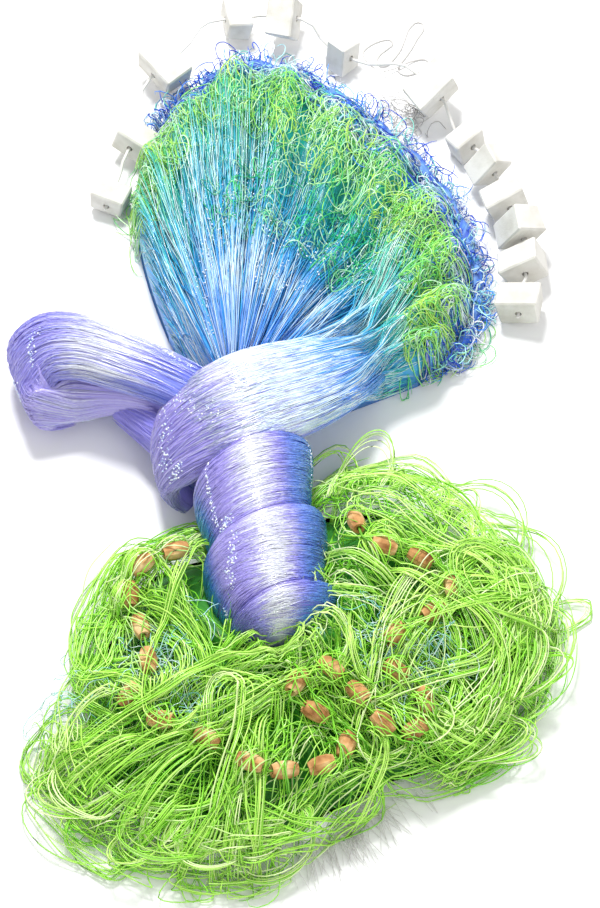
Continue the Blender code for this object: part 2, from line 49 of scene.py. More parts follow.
def unit(vectors):
    # each vector divided by its own length
    return vectors / np.maximum(np.linalg.norm(vectors, axis=-1, keepdims=True), 1e-9)


def easeIn(x):
    # 3x^2 - 2x^3 between 0 and 1
    x = np.clip(x, 0, 1)
    return x * x * (3 - 2 * x)


def smoothRandom(rowCount, pointCount, knots, size=1.0):
    # one smooth random curve for each row: a cubic B-spline over normally spread heights
    heights = rng.normal(0, size, (rowCount, knots + 3))
    place = np.linspace(0, knots - 1e-6, pointCount)
    left = place.astype(int)
    t = place - left
    weights = ((1 - t) ** 3, 3 * t**3 - 6 * t**2 + 4, -3 * t**3 + 3 * t**2 + 3 * t + 1, t**3)
    return sum(heights[:, left + k] * w for k, w in enumerate(weights)) / 6


def throughRows(table, place):
    # Catmull-Rom curve through a table's rows, read at fractional row numbers
    table = np.asarray(table, float)
    last = len(table) - 1
    place = np.clip(place, 0, last)
    left = np.minimum(place.astype(int), last - 1)
    t = (place - left)[..., None] if table.ndim > 1 else place - left
    before, start = table[np.maximum(left - 1, 0)], table[left]
    end, after = table[left + 1], table[np.minimum(left + 2, last)]
    bend = (2 * before - 5 * start + 4 * end - after) * t**2
    return 0.5 * (2 * start + (end - before) * t + bend + (3 * start - 3 * end + after - before) * t**3)


def stack(x, y, z):
    # points from arrays of any matching shapes
    return np.stack(np.broadcast_arrays(x, y, z), axis=-1)


def between(low, high, *shape):
    # evenly spread random numbers
    return rng.uniform(low, high, shape)


def eachRow(low, high, count):
    # one random number for each row, as a column
    return between(low, high, count)[:, None]


def millimetres(*rows):
    return np.array(rows) / 1000


# materials

def linearColour(hexColour):
    # sRGB hex to linear: c/12.92 below 0.04045, else ((c + 0.055) / 1.055)^2.4
    parts = [int(hexColour[i:i + 2], 16) / 255 for i in (1, 3, 5)]
    return tuple(c / 12.92 if c <= 0.04045 else ((c + 0.055) / 1.055) ** 2.4 for c in parts) + (1.0,)


def addNode(tree, kind, links=None, **settings):
    # one node with its settings; links maps its input to a value or to another node's output
    node = tree.nodes.new(kind)
    for key, value in settings.items():
        setattr(node, key, value)
    for key, value in (links or {}).items():
        if isinstance(value, bpy.types.NodeSocket):
            tree.links.new(value, node.inputs[key])
        else:
            node.inputs[key].default_value = value
    return node


def startMaterial(name, **shaderValues):
    material = bpy.data.materials.new(name)
    material.use_nodes = True
    tree = material.node_tree
    shader = tree.nodes["Principled BSDF"]
    for key, value in shaderValues.items():
        shader.inputs[key.replace("_", " ")].default_value = value
    return material, tree, shader


def setRamp(ramp, stops, interpolation="LINEAR"):
    # stops are (place, hex colour) pairs
    elements = ramp.color_ramp.elements
    ramp.color_ramp.interpolation = interpolation
    while len(elements) < len(stops):
        elements.new(0.5)
    for element, (place, colour) in zip(elements, stops):
        element.position = place
        element.color = linearColour(colour)


def strandMaterial(name, stops, paleTintAndPaintedGlintColour, darkTintAndPaintedShadeColour, paleShare, darkShare, **shaderValues):
    # drawn filament: its colour runs along "tone", and "shade" makes single strands paler or darker; that carries a
    # random tint and, on some pieces, painted highlights and painted shade
    material, tree, shader = startMaterial(name, **shaderValues)
    tone = addNode(tree, "ShaderNodeAttribute", attribute_name="tone")
    shade = addNode(tree, "ShaderNodeAttribute", attribute_name="shade")
    ramp = addNode(tree, "ShaderNodeValToRGB", {"Fac": tone.outputs["Fac"]})
    setRamp(ramp, stops)
    colour = ramp.outputs["Color"]
    # the pale mix paints highlights as well as a random pale tint, the dark mix paints shade as well as a random dark
    # tint
    for start, end, most, tint in ((1 - paleShare, 1.0, 0.95, paleTintAndPaintedGlintColour), (darkShare, 0.0, 0.7, darkTintAndPaintedShadeColour)):
        amount = addNode(tree, "ShaderNodeMapRange", {
            "Value": shade.outputs["Fac"], "From Min": start, "From Max": end, "To Min": 0.0, "To Max": most})
        colour = addNode(tree, "ShaderNodeMix", {
            "Factor": amount.outputs["Result"], 6: colour, 7: linearColour(tint)}, data_type="RGBA").outputs[2]
    tree.links.new(colour, shader.inputs["Base Color"])
    return material


netStops = (
    (0.00, "#b9adf5"), (0.12, "#a29ef8"), (0.24, "#7d9af8"), (0.36, "#4a9bf4"), (0.50, "#3cb4ee"),
    (0.60, "#3cc8d4"), (0.72, "#44d2a6"), (0.86, "#6adc74"), (1.00, "#b0ee58"),
)
# drawn nylon 6 filament: clear-toned and slick from the die; its white pale colour is painted highlight on crests as
# well as a random pale tint, and its dark colour painted shade in grooves as well as a random dark tint
knotNylon = strandMaterial(
    "drawnLavenderNylon", netStops, "#f6faff", "#4a48b4", 0.46, 0.20,
    Roughness=0.22, IOR=1.58, Specular_IOR_Level=0.8, Coat_Weight=0.7, Coat_Roughness=0.12)
# the same filament where it is spread and lit through: its aqua white pale colour is painted light, highlights and
# light shining through, as well as a random pale tint
fanNylon = strandMaterial(
    "drawnAquaNylon", netStops, "#ecfdff", "#1a5ab4", 0.52, 0.18,
    Roughness=0.22, IOR=1.58, Coat_Weight=0.4, Coat_Roughness=0.12)
# twisted nylon twine for the outer walls: softer gloss, yellow green
greenTwine = strandMaterial(
    "twistedGreenNylonTwine", ((0.0, "#4cab20"), (0.3, "#86e034"), (0.65, "#b2f552"), (1.0, "#d8fd86")),
    "#f8ffd0", "#2f8a1c", 0.40, 0.22, Roughness=0.32, IOR=1.53, Coat_Weight=0.2, Coat_Roughness=0.2)
# curls of wall mesh over the fan: sea green in the hollow, yellow green outside it
curlTwine = strandMaterial(
    "curledWallTwine", ((0.0, "#1fae84"), (0.3, "#38d080"), (0.6, "#8cec68"), (1.0, "#ccf86a")),
    "#dcffe4", "#12806a", 0.46, 0.18, Roughness=0.30, IOR=1.53, Coat_Weight=0.2, Coat_Roughness=0.2)
# braided blue hanging twine, with pale aqua and white ends among it
blueTwine = strandMaterial(
    "braidedBlueTwine",
    ((0.0, "#1c3cb8"), (0.30, "#2a64ea"), (0.5, "#46a0f6"), (0.62, "#7be0c8"), (0.78, "#b4f0f0"), (1.0, "#f4fbff")),
    "#ffffff", "#142a8c", 0.24, 0.16, Roughness=0.36, IOR=1.53)
# bleached polyester cord: white, its stops painted greyer as painted shade
whiteCord = strandMaterial(
    "bleachedPolyesterCord", ((0.0, "#b4b1ae"), (1.0, "#dad8d5")), "#f0efec", "#9c9995", 0.2, 0.2,
    Roughness=0.55, IOR=1.5)
# tight little knots of the inner netting: fused nylon, glossy; their white is painted highlight, the sparkle of knots
# that catch the light
knotBead = strandMaterial(
    "fusedNylonKnot", ((0.0, "#cfe4ff"), (1.0, "#f4f8ff")), "#ffffff", "#a8c4f8", 0.3, 0.2,
    Roughness=0.15, IOR=1.53, Coat_Weight=0.6, Coat_Roughness=0.08)


# a slot name for each sort of strand, and the node that it stands for
asNetting = ("inner_netting", ("netting",))
asHeadWalls = ("outer_wall_twine", ("outer_walls_head",))
asFootWalls = ("outer_wall_twine", ("outer_walls_foot",))
asTwine = ("hanging_twine", ("hanging_twine",))


def makePiece(name, points, faceSets, material, slotName, nodes=(), values=None, uv=None):
    # joins arrays of faces, three or four corners each, into one mesh; values are one number a point
    mesh = bpy.data.meshes.new(name)
    sizes = np.concatenate([np.full(len(faces), faces.shape[1]) for faces in faceSets])
    corners = np.concatenate([faces.ravel() for faces in faceSets]).astype(np.int32)
    mesh.vertices.add(len(points))
    mesh.vertices.foreach_set("co", np.asarray(points, np.float32).ravel())
    mesh.loops.add(len(corners))
    mesh.loops.foreach_set("vertex_index", corners)
    mesh.polygons.add(len(sizes))
    mesh.polygons.foreach_set("loop_start", (np.cumsum(sizes) - sizes).astype(np.int32))
    for key, numbers in (values or {}).items():
        layer = mesh.attributes.new(key, "FLOAT", "POINT")
        layer.data.foreach_set("value", np.asarray(numbers, np.float32).ravel())
    mesh.update(calc_edges=True)
    if uv is not None:
        mesh.uv_layers.new(name="along").data.foreach_set("uv", np.asarray(uv, np.float32).ravel())
    mesh.shade_smooth()
    mesh.materials.append(material)
    piece = bpy.data.objects.new(name, mesh)
    bpy.context.scene.collection.objects.link(piece)
    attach(piece, "root")
    if nodes:
        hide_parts(*nodes)
    print(name, "has", int((sizes - 2).sum()), "triangles")
    return piece


def ringFaces(index):
    # quads between each ring of point numbers and the next
    after = np.roll(index, -1, axis=-1)
    corners = (index[..., :-1, :], after[..., :-1, :], after[..., 1:, :], index[..., 1:, :])
    return np.stack(corners, axis=-1).reshape(-1, 4)


def strandPiece(name, paths, radius, tone, shade, material, slotName, nodes=(), sides=3):
    # a thin tube along each path, point + r (side cos a + other sin a), all joined in one mesh
    count, length = paths.shape[:2]
    tangent = unit(np.gradient(paths, axis=1))
    side = unit(np.cross(tangent, unit(rng.normal(size=(count, 1, 3)))))
    other = np.cross(tangent, side)
    angle = 2 * np.pi * np.arange(sides) / sides
    spokes = side[:, :, None] * np.cos(angle)[:, None] + other[:, :, None] * np.sin(angle)[:, None]
    radius = np.broadcast_to(np.asarray(radius, float).reshape(-1, 1), (count, 1))
    width = radius * np.minimum(1, 0.35 + 6 * np.minimum(np.linspace(0, 1, length), np.linspace(1, 0, length)))
    points = paths[:, :, None] + spokes * width[:, :, None, None]
    points[..., 2] = np.maximum(points[..., 2], 0.0003)
    index = np.arange(count * length * sides).reshape(count, length, sides)
    caps = np.concatenate((index[:, 0, ::-1], index[:, -1]))
    values = {}
    for key, numbers in (("tone", tone), ("shade", np.clip(shade, 0, 1))):
        numbers = np.asarray(numbers, float).reshape(count if np.size(numbers) > 1 else 1, -1)
        values[key] = np.repeat(np.broadcast_to(numbers, (count, length)), sides, axis=1)
    return makePiece(name, points.reshape(-1, 3), (ringFaces(index), caps), material, slotName, nodes, values)


def bodyPiece(name, rings, material, slotName, nodes=(), tone=0.0, shade=0.0):
    # a closed skin over rings of points, each end drawn to its middle
    rows, columns = rings.shape[:2]
    index = np.arange(rows * columns).reshape(rows, columns)
    after = np.roll(index, -1, axis=1)
    quads = ringFaces(index)
    ends = rows * columns + np.arange(2)
    points = np.concatenate((rings.reshape(-1, 3), rings[[0, -1]].mean(axis=1)))
    first = np.stack((after[0], index[0], np.full(columns, ends[0])), axis=-1)
    last = np.stack((index[-1], after[-1], np.full(columns, ends[1])), axis=-1)
    triangles = np.concatenate((quads[:, [0, 1, 2]], quads[:, [0, 2, 3]], first, last))
    a, b, c = (points[triangles[:, k]] for k in range(3))
    grid = np.stack(np.meshgrid(np.linspace(0, 1, rows), np.linspace(0, 1, columns + 1), indexing="ij"), axis=-1)
    uv = np.stack((grid[:-1, :-1], grid[:-1, 1:], grid[1:, 1:], grid[1:, :-1]), axis=2).reshape(-1, 4, 2)
    if np.einsum("ij,ij->i", a, np.cross(b, c)).sum() < 0:  # a negative volume is an inside-out skin
        quads, first, last, uv = quads[:, ::-1], first[:, ::-1], last[:, ::-1], uv[:, ::-1]
    uv = np.concatenate((uv.reshape(-1, 2), np.zeros((2 * columns * 3, 2))))
    values = {}
    for key, numbers in (("tone", tone), ("shade", shade)):
        numbers = np.broadcast_to(numbers, (rows, columns))
        values[key] = np.concatenate((numbers.ravel(), numbers[[0, -1]].mean(axis=1)))
    return makePiece(name, points, (quads, first, last), material, slotName, nodes, values, uv)


# the shapes that the strands lie on

trunk = {
    "head": np.array((-0.022, -0.045, 0.041)), "foot": np.array((0.003, -0.213, 0.036)),
    "halfWidth": 0.033, "halfHeight": 0.037, "spread": 0.08, "rounding": 0.24, "endDrop": 0.94,
    "pitch": 0.058, "lift": 0.0085, "start": 0.50,
}
trunk["run"] = trunk["foot"] - trunk["head"]
trunk["length"] = np.linalg.norm(trunk["run"])
downTrunk = trunk["run"] / trunk["length"]


def trunkSurface(share, angle, above=0.0):
    # an oval round the trunk's axis, raised by lift * sin(pi w^0.45) across each wrap, w from 0 to 1
    across = unit(np.cross(downTrunk, (0, 0, 1)))
    up = np.cross(across, downTrunk)
    share, angle, above = np.broadcast_arrays(share, angle, above)
    intoEnd = np.clip((share - 1 + trunk["rounding"]) / trunk["rounding"], 0, 1)
    taper = np.sqrt(np.maximum(0, 1 - trunk["endDrop"] * intoEnd**2.6)) * (1 + trunk["spread"] * share)
    wrap = (trunk["start"] + share * trunk["length"] / trunk["pitch"] + angle / (2 * np.pi)) % 1.0
    rise = trunk["lift"] * np.sin(np.pi * wrap**0.45)
    wide = ((trunk["halfWidth"] + rise) * taper + above) * np.sin(angle)
    high = ((trunk["halfHeight"] + rise) * taper + above) * np.cos(angle)
    point = trunk["head"] + trunk["run"] * share[..., None] - across * wide[..., None] + up * high[..., None]
    point[..., 2] = np.maximum(point[..., 2], 0.0006)
    return point


# gathered stretches: centre, half width and half thickness of each section, in mm
bundles = {
    "bight": millimetres(
        (-45, -32, 56, 18, 16),
        (-78, -12, 57, 19, 16),
        (-112, 3, 57, 21, 17),
        (-140, 15, 56, 24, 16),
        (-163, 18, 50, 27, 14),
        (-177, 10, 34, 30, 12),
        (-165, 1, 18, 31, 12),
        (-142, -1, 15, 21, 10),
    ),
    "bightReturn": millimetres(
        (-166, 0, 25, 26, 18),
        (-140, 0, 25, 23, 19),
        (-117, -5, 31, 16, 17),
        (-97, -13, 38, 12, 14),
        (-76, -24, 44, 10, 12),
    ),
    "shoulder": millimetres(
        (74, 34, 26, 16, 10),
        (50, 10, 40, 26, 17),
        (22, -14, 55, 33, 20),
        (-10, -34, 66, 38, 21),
        (-40, -47, 63, 38, 21),
        (-65, -58, 48, 34, 17),
        (-73, -67, 28, 29, 13),
        (-58, -75, 12, 25, 10),
    ),
    "neck": millimetres(
        (-112, -13, 22, 10, 12),
        (-89, -28, 26, 17, 17),
        (-65, -47, 30, 22, 21),
        (-42, -70, 33, 23, 24),
        (-24, -96, 35, 21, 24),
        (-10, -120, 36, 18, 22),
    ),
}
widthWay = {
    "bight": (0.35, -0.94, 0.0), "bightReturn": (0.35, -0.94, 0.0),
    "shoulder": tuple(downTrunk), "neck": (0.75, 0.66, 0.0),
}


def bundleSurface(name, along, angle, above=0.0):
    # centre + across (w + above) cos a + up (t + above) sin a, carried along the bundle's sections
    table = bundles[name]
    along, angle, above = np.broadcast_arrays(along, angle, above)
    place = along * (len(table) - 1)
    section = throughRows(table, place)
    heading = unit(throughRows(table, place + 0.05)[..., :3] - throughRows(table, place - 0.05)[..., :3])
    hint = np.array(widthWay[name])
    across = unit(hint - heading * (heading @ hint)[..., None])
    up = np.cross(across, heading)
    wide = (section[..., 3] + above) * np.cos(angle)
    high = (section[..., 4] + above) * np.sin(angle)
    point = section[..., :3] + across * wide[..., None] + up * high[..., None]
    point[..., 2] = np.maximum(point[..., 2], 0.0006)
    return point


fan = {
    "root": np.array((-0.030, -0.040)), "rootReach": 0.022,
    "heights": ((0.0, 0.22, 0.5, 0.8, 1.0), (0.066, 0.060, 0.050, 0.046, 0.036)),
    "hollow": {"bearing": 17.0, "at": 0.66, "depth": 0.024, "spread": 21.0, "length": 0.17},
}
# each radial fold: bearing in degrees, reach and crest in metres
folds = np.array((
    (-28.0, 0.095, 0.001), (-22.0, 0.205, 0.005), (-16.5, 0.255, 0.008), (-9.0, 0.296, 0.006),
    (-1.0, 0.334, 0.008), (7.0, 0.333, 0.007), (16.0, 0.306, 0.005), (26.0, 0.280, 0.008),
    (37.0, 0.254, 0.005), (47.0, 0.226, 0.008), (56.0, 0.198, 0.007), (64.0, 0.160, 0.005),
    (71.0, 0.105, 0.001),
))
lastFold = len(folds) - 1


def fanTop(share, place):
    # height along the reach + crest cos(2 pi place) - the hollow, rounded down at the sides and the head
    hollow = fan["hollow"]
    bearing, _, crest = np.moveaxis(throughRows(folds, place), -1, 0)
    height = np.interp(share, *fan["heights"]) + crest * np.minimum(1, share / 0.45) * np.cos(2 * np.pi * place)
    offBearing = (bearing - hollow["bearing"]) / hollow["spread"]
    offReach = (share - hollow["at"]) / hollow["length"]
    height = height - hollow["depth"] * np.exp(-(offBearing**2) - offReach**2)
    side = np.sqrt(np.clip(np.minimum(place, lastFold - place) / 1.2, 0, 1))
    head = np.sqrt(np.clip(1 - (np.maximum(share - 0.92, 0) / 0.11) ** 2, 0, 1))
    return np.maximum(0.004, height * side * head)


def fanPoint(share, place, height):
    # root + reach (sin bearing, cos bearing)
    share, place, height = np.broadcast_arrays(share, place, height)
    bearing, reach, _ = np.moveaxis(throughRows(folds, place), -1, 0)
    bearing = np.radians(bearing)
    out = fan["rootReach"] + (reach - fan["rootReach"]) * share
    return stack(fan["root"][0] + np.sin(bearing) * out, fan["root"][1] + np.cos(bearing) * out, height)


def fanPlaceAt(x, y):
    # the share of the reach and the fold number under a spot
    dx, dy = x - fan["root"][0], y - fan["root"][1]
    place = np.interp(np.degrees(np.arctan2(dx, dy)), folds[:, 0], np.arange(lastFold + 1))
    reach = np.interp(place, np.arange(lastFold + 1), folds[:, 1])
    return (np.hypot(dx, dy) - fan["rootReach"]) / (reach - fan["rootReach"]), place


def fanHeightAt(x, y):
    # the fan's height under a spot, falling to 0 past its head
    share, place = fanPlaceAt(x, y)
    height = fanTop(np.clip(share, 0, 1), place)
    return np.where(share > 1, np.maximum(0.0, height * (1 - (share - 1) * 12)), height)


heap = {"centre": np.array((0.004, -0.238)), "folds": 0.0038}
# each lobe of the heap: bearing in degrees, reach and height in metres
lobes = np.array((
    (-170.0, 0.130, 0.048), (-150.0, 0.143, 0.046), (-128.0, 0.158, 0.044), (-106.0, 0.168, 0.048),
    (-84.0, 0.158, 0.044), (-62.0, 0.158, 0.050), (-42.0, 0.166, 0.052), (-25.0, 0.154, 0.046),
    (-6.0, 0.110, 0.044), (12.0, 0.186, 0.048), (27.0, 0.208, 0.056), (42.0, 0.208, 0.058),
    (58.0, 0.204, 0.056), (74.0, 0.194, 0.052), (90.0, 0.172, 0.052), (108.0, 0.148, 0.046),
    (132.0, 0.108, 0.046), (160.0, 0.106, 0.048),
))
lobesAround = np.concatenate((lobes[-1:] - (360, 0, 0), lobes, lobes[:1] + (360, 0, 0)))


def atLobe(bearing, column):
    # a column of the lobes, read at a bearing in degrees, any turn
    return np.interp((bearing + 180) % 360 - 180, lobesAround[:, 0], lobesAround[:, column])


def heapReach(bearing):
    # the outline's distance from the heap's centre
    return atLobe(bearing, 1)


def heapTop(share, bearing):
    # height (1 - share^3.2)^0.55 and a few radial folds, inside the edge
    inside = np.clip(share, 0, 1)
    turn = np.radians((bearing + 180) % 360 - 180)
    ripple = heap["folds"] * (np.sin(9 * turn + 1.3 + 2 * inside) + 0.6 * np.sin(17 * turn - 3 * inside))
    return atLobe(bearing, 2) * (1 - inside**3.2) ** 0.55 + ripple * inside * (1 - inside) * 4


def heapSpot(share, bearing):
    # centre + share * reach (sin bearing, cos bearing)
    out = heapReach(bearing) * share
    turn = np.radians(bearing)
    return heap["centre"][0] + np.sin(turn) * out, heap["centre"][1] + np.cos(turn) * out


def heapPoint(share, bearing, above):
    # the heap's surface over that spot, raised by above
    return stack(*heapSpot(share, bearing), heapTop(share, bearing) + above)


def trunkDistance(paths):
    # distance in plan from the trunk's axis, past its end too
    axis = trunk["run"][:2] / np.linalg.norm(trunk["run"][:2])
    offset = paths[..., :2] - trunk["head"][:2]
    down = np.clip(offset @ axis, 0, trunk["length"] - 0.038)
    return np.linalg.norm(offset - axis * down[..., None], axis=-1)


def underTrunk(paths):
    # strands dip to 4 mm over 12 mm where they would cross the trunk: z (1 - dip) + 4 mm dip
    edge = trunk["halfWidth"] + between(-0.001, 0.014, len(paths))[:, None]
    dip = easeIn((edge - trunkDistance(paths)) / 0.012)
    paths[..., 2] = paths[..., 2] * (1 - dip) + 0.004 * dip
    return paths


sinkerSpots = np.array([
    np.mean(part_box(nodeName), axis=0) for nodeName in sorted(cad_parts) if nodeName.startswith("sinker_")])


dodge = {"height": 0.0085, "width": 0.013}


def aroundSinkers(paths, overShare):
    # a strand near a sinker goes over it or under it, height (1 - (d / width)^2) from its middle
    offset = paths[:, :, None, :2] - sinkerSpots[:, :2]
    distance = np.linalg.norm(offset, axis=-1)
    nearest = distance.argmin(axis=-1)
    distance = np.take_along_axis(distance, nearest[..., None], axis=-1)[..., 0]
    level = sinkerSpots[nearest, 2]
    room = dodge["height"] * np.clip(1 - (distance / dodge["width"]) ** 2, 0, 1)
    over = (between(0, 1, len(paths)) < overShare)[:, None]
    height = paths[..., 2]
    moved = np.where(over, np.maximum(height, level + room), np.minimum(height, level - room))
    paths[..., 2] = np.where(distance < dodge["width"], moved, height)
    return paths


print("stage: net bodies")


# net bodies under the strands

def netBodyMaterial(name, stops, paleTintAndPaintedGlintColour, grooves, **shaderValues):
    # massed filaments: fine lengthwise grooves, colour along "tone", and a pale mix where "shade" is high: painted
    # highlights on the trunk and the bundles, a random pale tint on the twine's core
    material, tree, shader = startMaterial(name, **shaderValues)
    tone = addNode(tree, "ShaderNodeAttribute", attribute_name="tone")
    coords = addNode(tree, "ShaderNodeUVMap", uv_map="along")
    stretched = addNode(tree, "ShaderNodeMapping", {"Vector": coords.outputs["UV"], "Scale": (3.0, grooves, 1.0)})
    fine = addNode(tree, "ShaderNodeTexNoise", {"Vector": stretched.outputs["Vector"], "Scale": 1.0, "Detail": 4.0})
    mixed = addNode(tree, "ShaderNodeMath", {0: fine.outputs["Fac"], 1: 0.22}, operation="MULTIPLY")
    shifted = addNode(tree, "ShaderNodeMath", {0: mixed.outputs["Value"], 1: tone.outputs["Fac"]}, operation="ADD")
    centred = addNode(tree, "ShaderNodeMath", {0: shifted.outputs["Value"], 1: -0.11}, operation="ADD")
    ramp = addNode(tree, "ShaderNodeValToRGB", {"Fac": centred.outputs["Value"]})
    setRamp(ramp, stops)
    bump = addNode(tree, "ShaderNodeBump", {"Height": fine.outputs["Fac"], "Strength": 0.7, "Distance": 0.0012})
    shade = addNode(tree, "ShaderNodeAttribute", attribute_name="shade")
    ragged = addNode(tree, "ShaderNodeMath", {0: shade.outputs["Fac"], 1: fine.outputs["Fac"]}, operation="MULTIPLY")
    pale = addNode(tree, "ShaderNodeMath", {0: ragged.outputs["Value"], 1: 1.7}, operation="MULTIPLY", use_clamp=True)
    paler = addNode(tree, "ShaderNodeMix", {
        "Factor": pale.outputs["Value"], 6: ramp.outputs["Color"], 7: linearColour(paleTintAndPaintedGlintColour)}, data_type="RGBA")
    tree.links.new(paler.outputs[2], shader.inputs["Base Color"])
    tree.links.new(bump.outputs["Normal"], shader.inputs["Normal"])
    return material


# the strand colours made darker: painted shade of the massed filaments seen between the strands
bodyStops = (
    (0.00, "#a79cec"), (0.12, "#8c88ee"), (0.24, "#5f7cec"), (0.36, "#327ee0"), (0.50, "#2596d6"),
    (0.60, "#1fa2b4"), (0.72, "#1a9c7a"), (0.86, "#2aa24c"), (1.00, "#62ae2a"),
)
netBody = netBodyMaterial("massedNylonFilament", bodyStops, "#f4f2ff", 260.0, Roughness=0.30, IOR=1.55)
rowsOfShare = np.linspace(0, 1, 48)[:, None]
aroundBody = np.linspace(0, 2 * np.pi, 32, endpoint=False)[None]
aroundTop = (aroundBody + np.pi) % (2 * np.pi) - np.pi
trunkTone = 0.03 + 0.22 * easeIn((aroundTop - 0.15) / 0.9) + 0.22 * easeIn((aroundTop - 1.2) / 0.7)
# painted highlight: paler along the trunk's crest
trunkPaintedGlint = 0.75 * np.exp(-(((aroundTop - 0.06) / 0.32) ** 2))
bodyPiece("trunk_core", trunkSurface(rowsOfShare, aroundBody, -0.0006), netBody, *asNetting, trunkTone, trunkPaintedGlint)
# tone at the start and end of each bundle, and how strongly its painted highlight shows
bundlePaintedGlint = {"bight": 0.9, "bightReturn": 0.1, "shoulder": 1.0, "neck": 0.2}
bundleTones = {"bight": (0.20, 0.03), "bightReturn": (0.02, 0.06), "shoulder": (0.44, 0.04), "neck": (0.06, 0.16)}
for bundleName, (startTone, endTone) in bundleTones.items():
    # painted highlight: a pale band across each bundle, on its upper side
    paintedGlintAlong = np.exp(-(((rowsOfShare - 0.42) / 0.13) ** 2)) * easeIn(0.4 - np.sin(aroundBody))
    bodyPiece(f"{bundleName}_core", bundleSurface(bundleName, rowsOfShare, aroundBody, -0.0008), netBody, *asNetting,
              startTone + (endTone - startTone) * easeIn(rowsOfShare * 1.4), 0.8 * bundlePaintedGlint[bundleName] * paintedGlintAlong)

fanShare = np.linspace(0, 0.985, 40)[:, None]
fanPlace = np.linspace(0.20, lastFold - 0.75, 110)[None]
fanOver = fanPoint(fanShare, fanPlace, np.maximum(fanTop(fanShare, fanPlace) - 0.004, 0.002))
fanUnder = fanPoint(fanShare, fanPlace[:, ::-1], 0.0004)
fanSide = easeIn(np.minimum(fanPlace, lastFold - fanPlace) / 2.0)
fanTone = 0.34 + 0.40 * fanShare * (0.25 + 0.75 * fanSide)
bodyPiece("fan_core", np.concatenate((fanOver, fanUnder), axis=1), netBody, *asNetting,
          np.concatenate((fanTone, 0.40 + 0 * fanTone), axis=1))

# strands of the inner netting


def paintedGlint(value, middle, width, strength):
    # painted highlight, paler where the filaments crest: strength * exp(-((value - middle) / width)^2), jittered for
    # each strand
    jitter = rng.normal(0, 0.35 * width, (len(value), 1))
    return strength * np.exp(-(((value - middle - jitter) / width) ** 2))


print("stage: trunk strands")
# for each of the four wraps: its share of the strands, the share of them that run plainly round it,
# and how far the others draw together at the left
wraps = {
    "strands": 1800, "points": 12, "radius": 0.00023,
    "shares": (0.08, 0.32, 0.34, 0.26), "plainShares": (0.5, 0.5, 0.45, 0.30), "gather": (1.0, 0.95, 0.62, 0.30),
}
count = wraps["strands"]
band = rng.choice(np.arange(0, 4), count, p=wraps["shares"])
across = between(0.02, 0.99, count)
step = np.linspace(0, 1, wraps["points"])
angle = eachRow(-2.4, -0.6, count) + step * eachRow(1.2, 4.2, count)
angle = np.minimum(angle, eachRow(1.6, 2.6, count))
plain = between(0, 1, count) < np.array(wraps["plainShares"])[band]
# strands of the lower wraps draw together at the left and spread to the right
gather = np.where(plain, 1.0, np.array(wraps["gather"])[band])[:, None]
spread = gather + (1 - gather) * easeIn((angle + 1.5) / 2.4)
turn = band[:, None] + np.clip(across[:, None] * spread + smoothRandom(count, wraps["points"], 3, 0.035), 0.02, 0.995)
share = (turn - trunk["start"] - angle / (2 * np.pi)) * trunk["pitch"] / trunk["length"]
share = np.clip(share, 0.0, 0.994)
keep = (share.mean(axis=1) < 0.975) & (share.min(axis=1) > 0.001)
paths = trunkSurface(share, angle, 0.0003 + eachRow(0, 0.0008, count))[keep]
tone = 0.03 + 0.27 * easeIn((angle - 0.20) / 0.6) + 0.24 * easeIn((angle - 1.1) / 0.6)
tone = tone + 0.42 * easeIn((-angle - 0.85) / 0.55) * easeIn((share - 0.25) / 0.2)
# painted highlight: the shade is raised along the trunk's crest, over a random tint
shade = 0.18 + 0.46 * eachRow(0, 1, count) + paintedGlint(angle, 0.02, 0.34, 0.74)
shade = shade - 0.10 * easeIn((angle - 0.35) / 0.4)
shade = shade + 0.10 * np.sin(5 * angle + 9 * share) - 0.10 * easeIn((-0.35 - angle) / 0.3)
# painted shade: the groove between two wraps is darkened, and so is the place where the last wrap draws together
groove = np.minimum(turn % 1, 1 - turn % 1)
shade = shade - 0.55 * np.exp(-((groove / 0.05) ** 2))
shade = shade - 0.5 * ((band == 3) & ~plain)[:, None] * np.exp(-(((angle + 0.8) / 0.4) ** 2))
# bluer towards the tip, and a little paler there: painted light that lifts its shading
intoTip = easeIn((share - 0.86) / 0.12)
tone, shade = tone + 0.10 * intoTip, shade + 0.06 * intoTip
strandPiece("trunk_strands", paths, wraps["radius"], tone[keep], np.clip(shade[keep], 0, 1), knotNylon, *asNetting)

print("stage: knot strands")
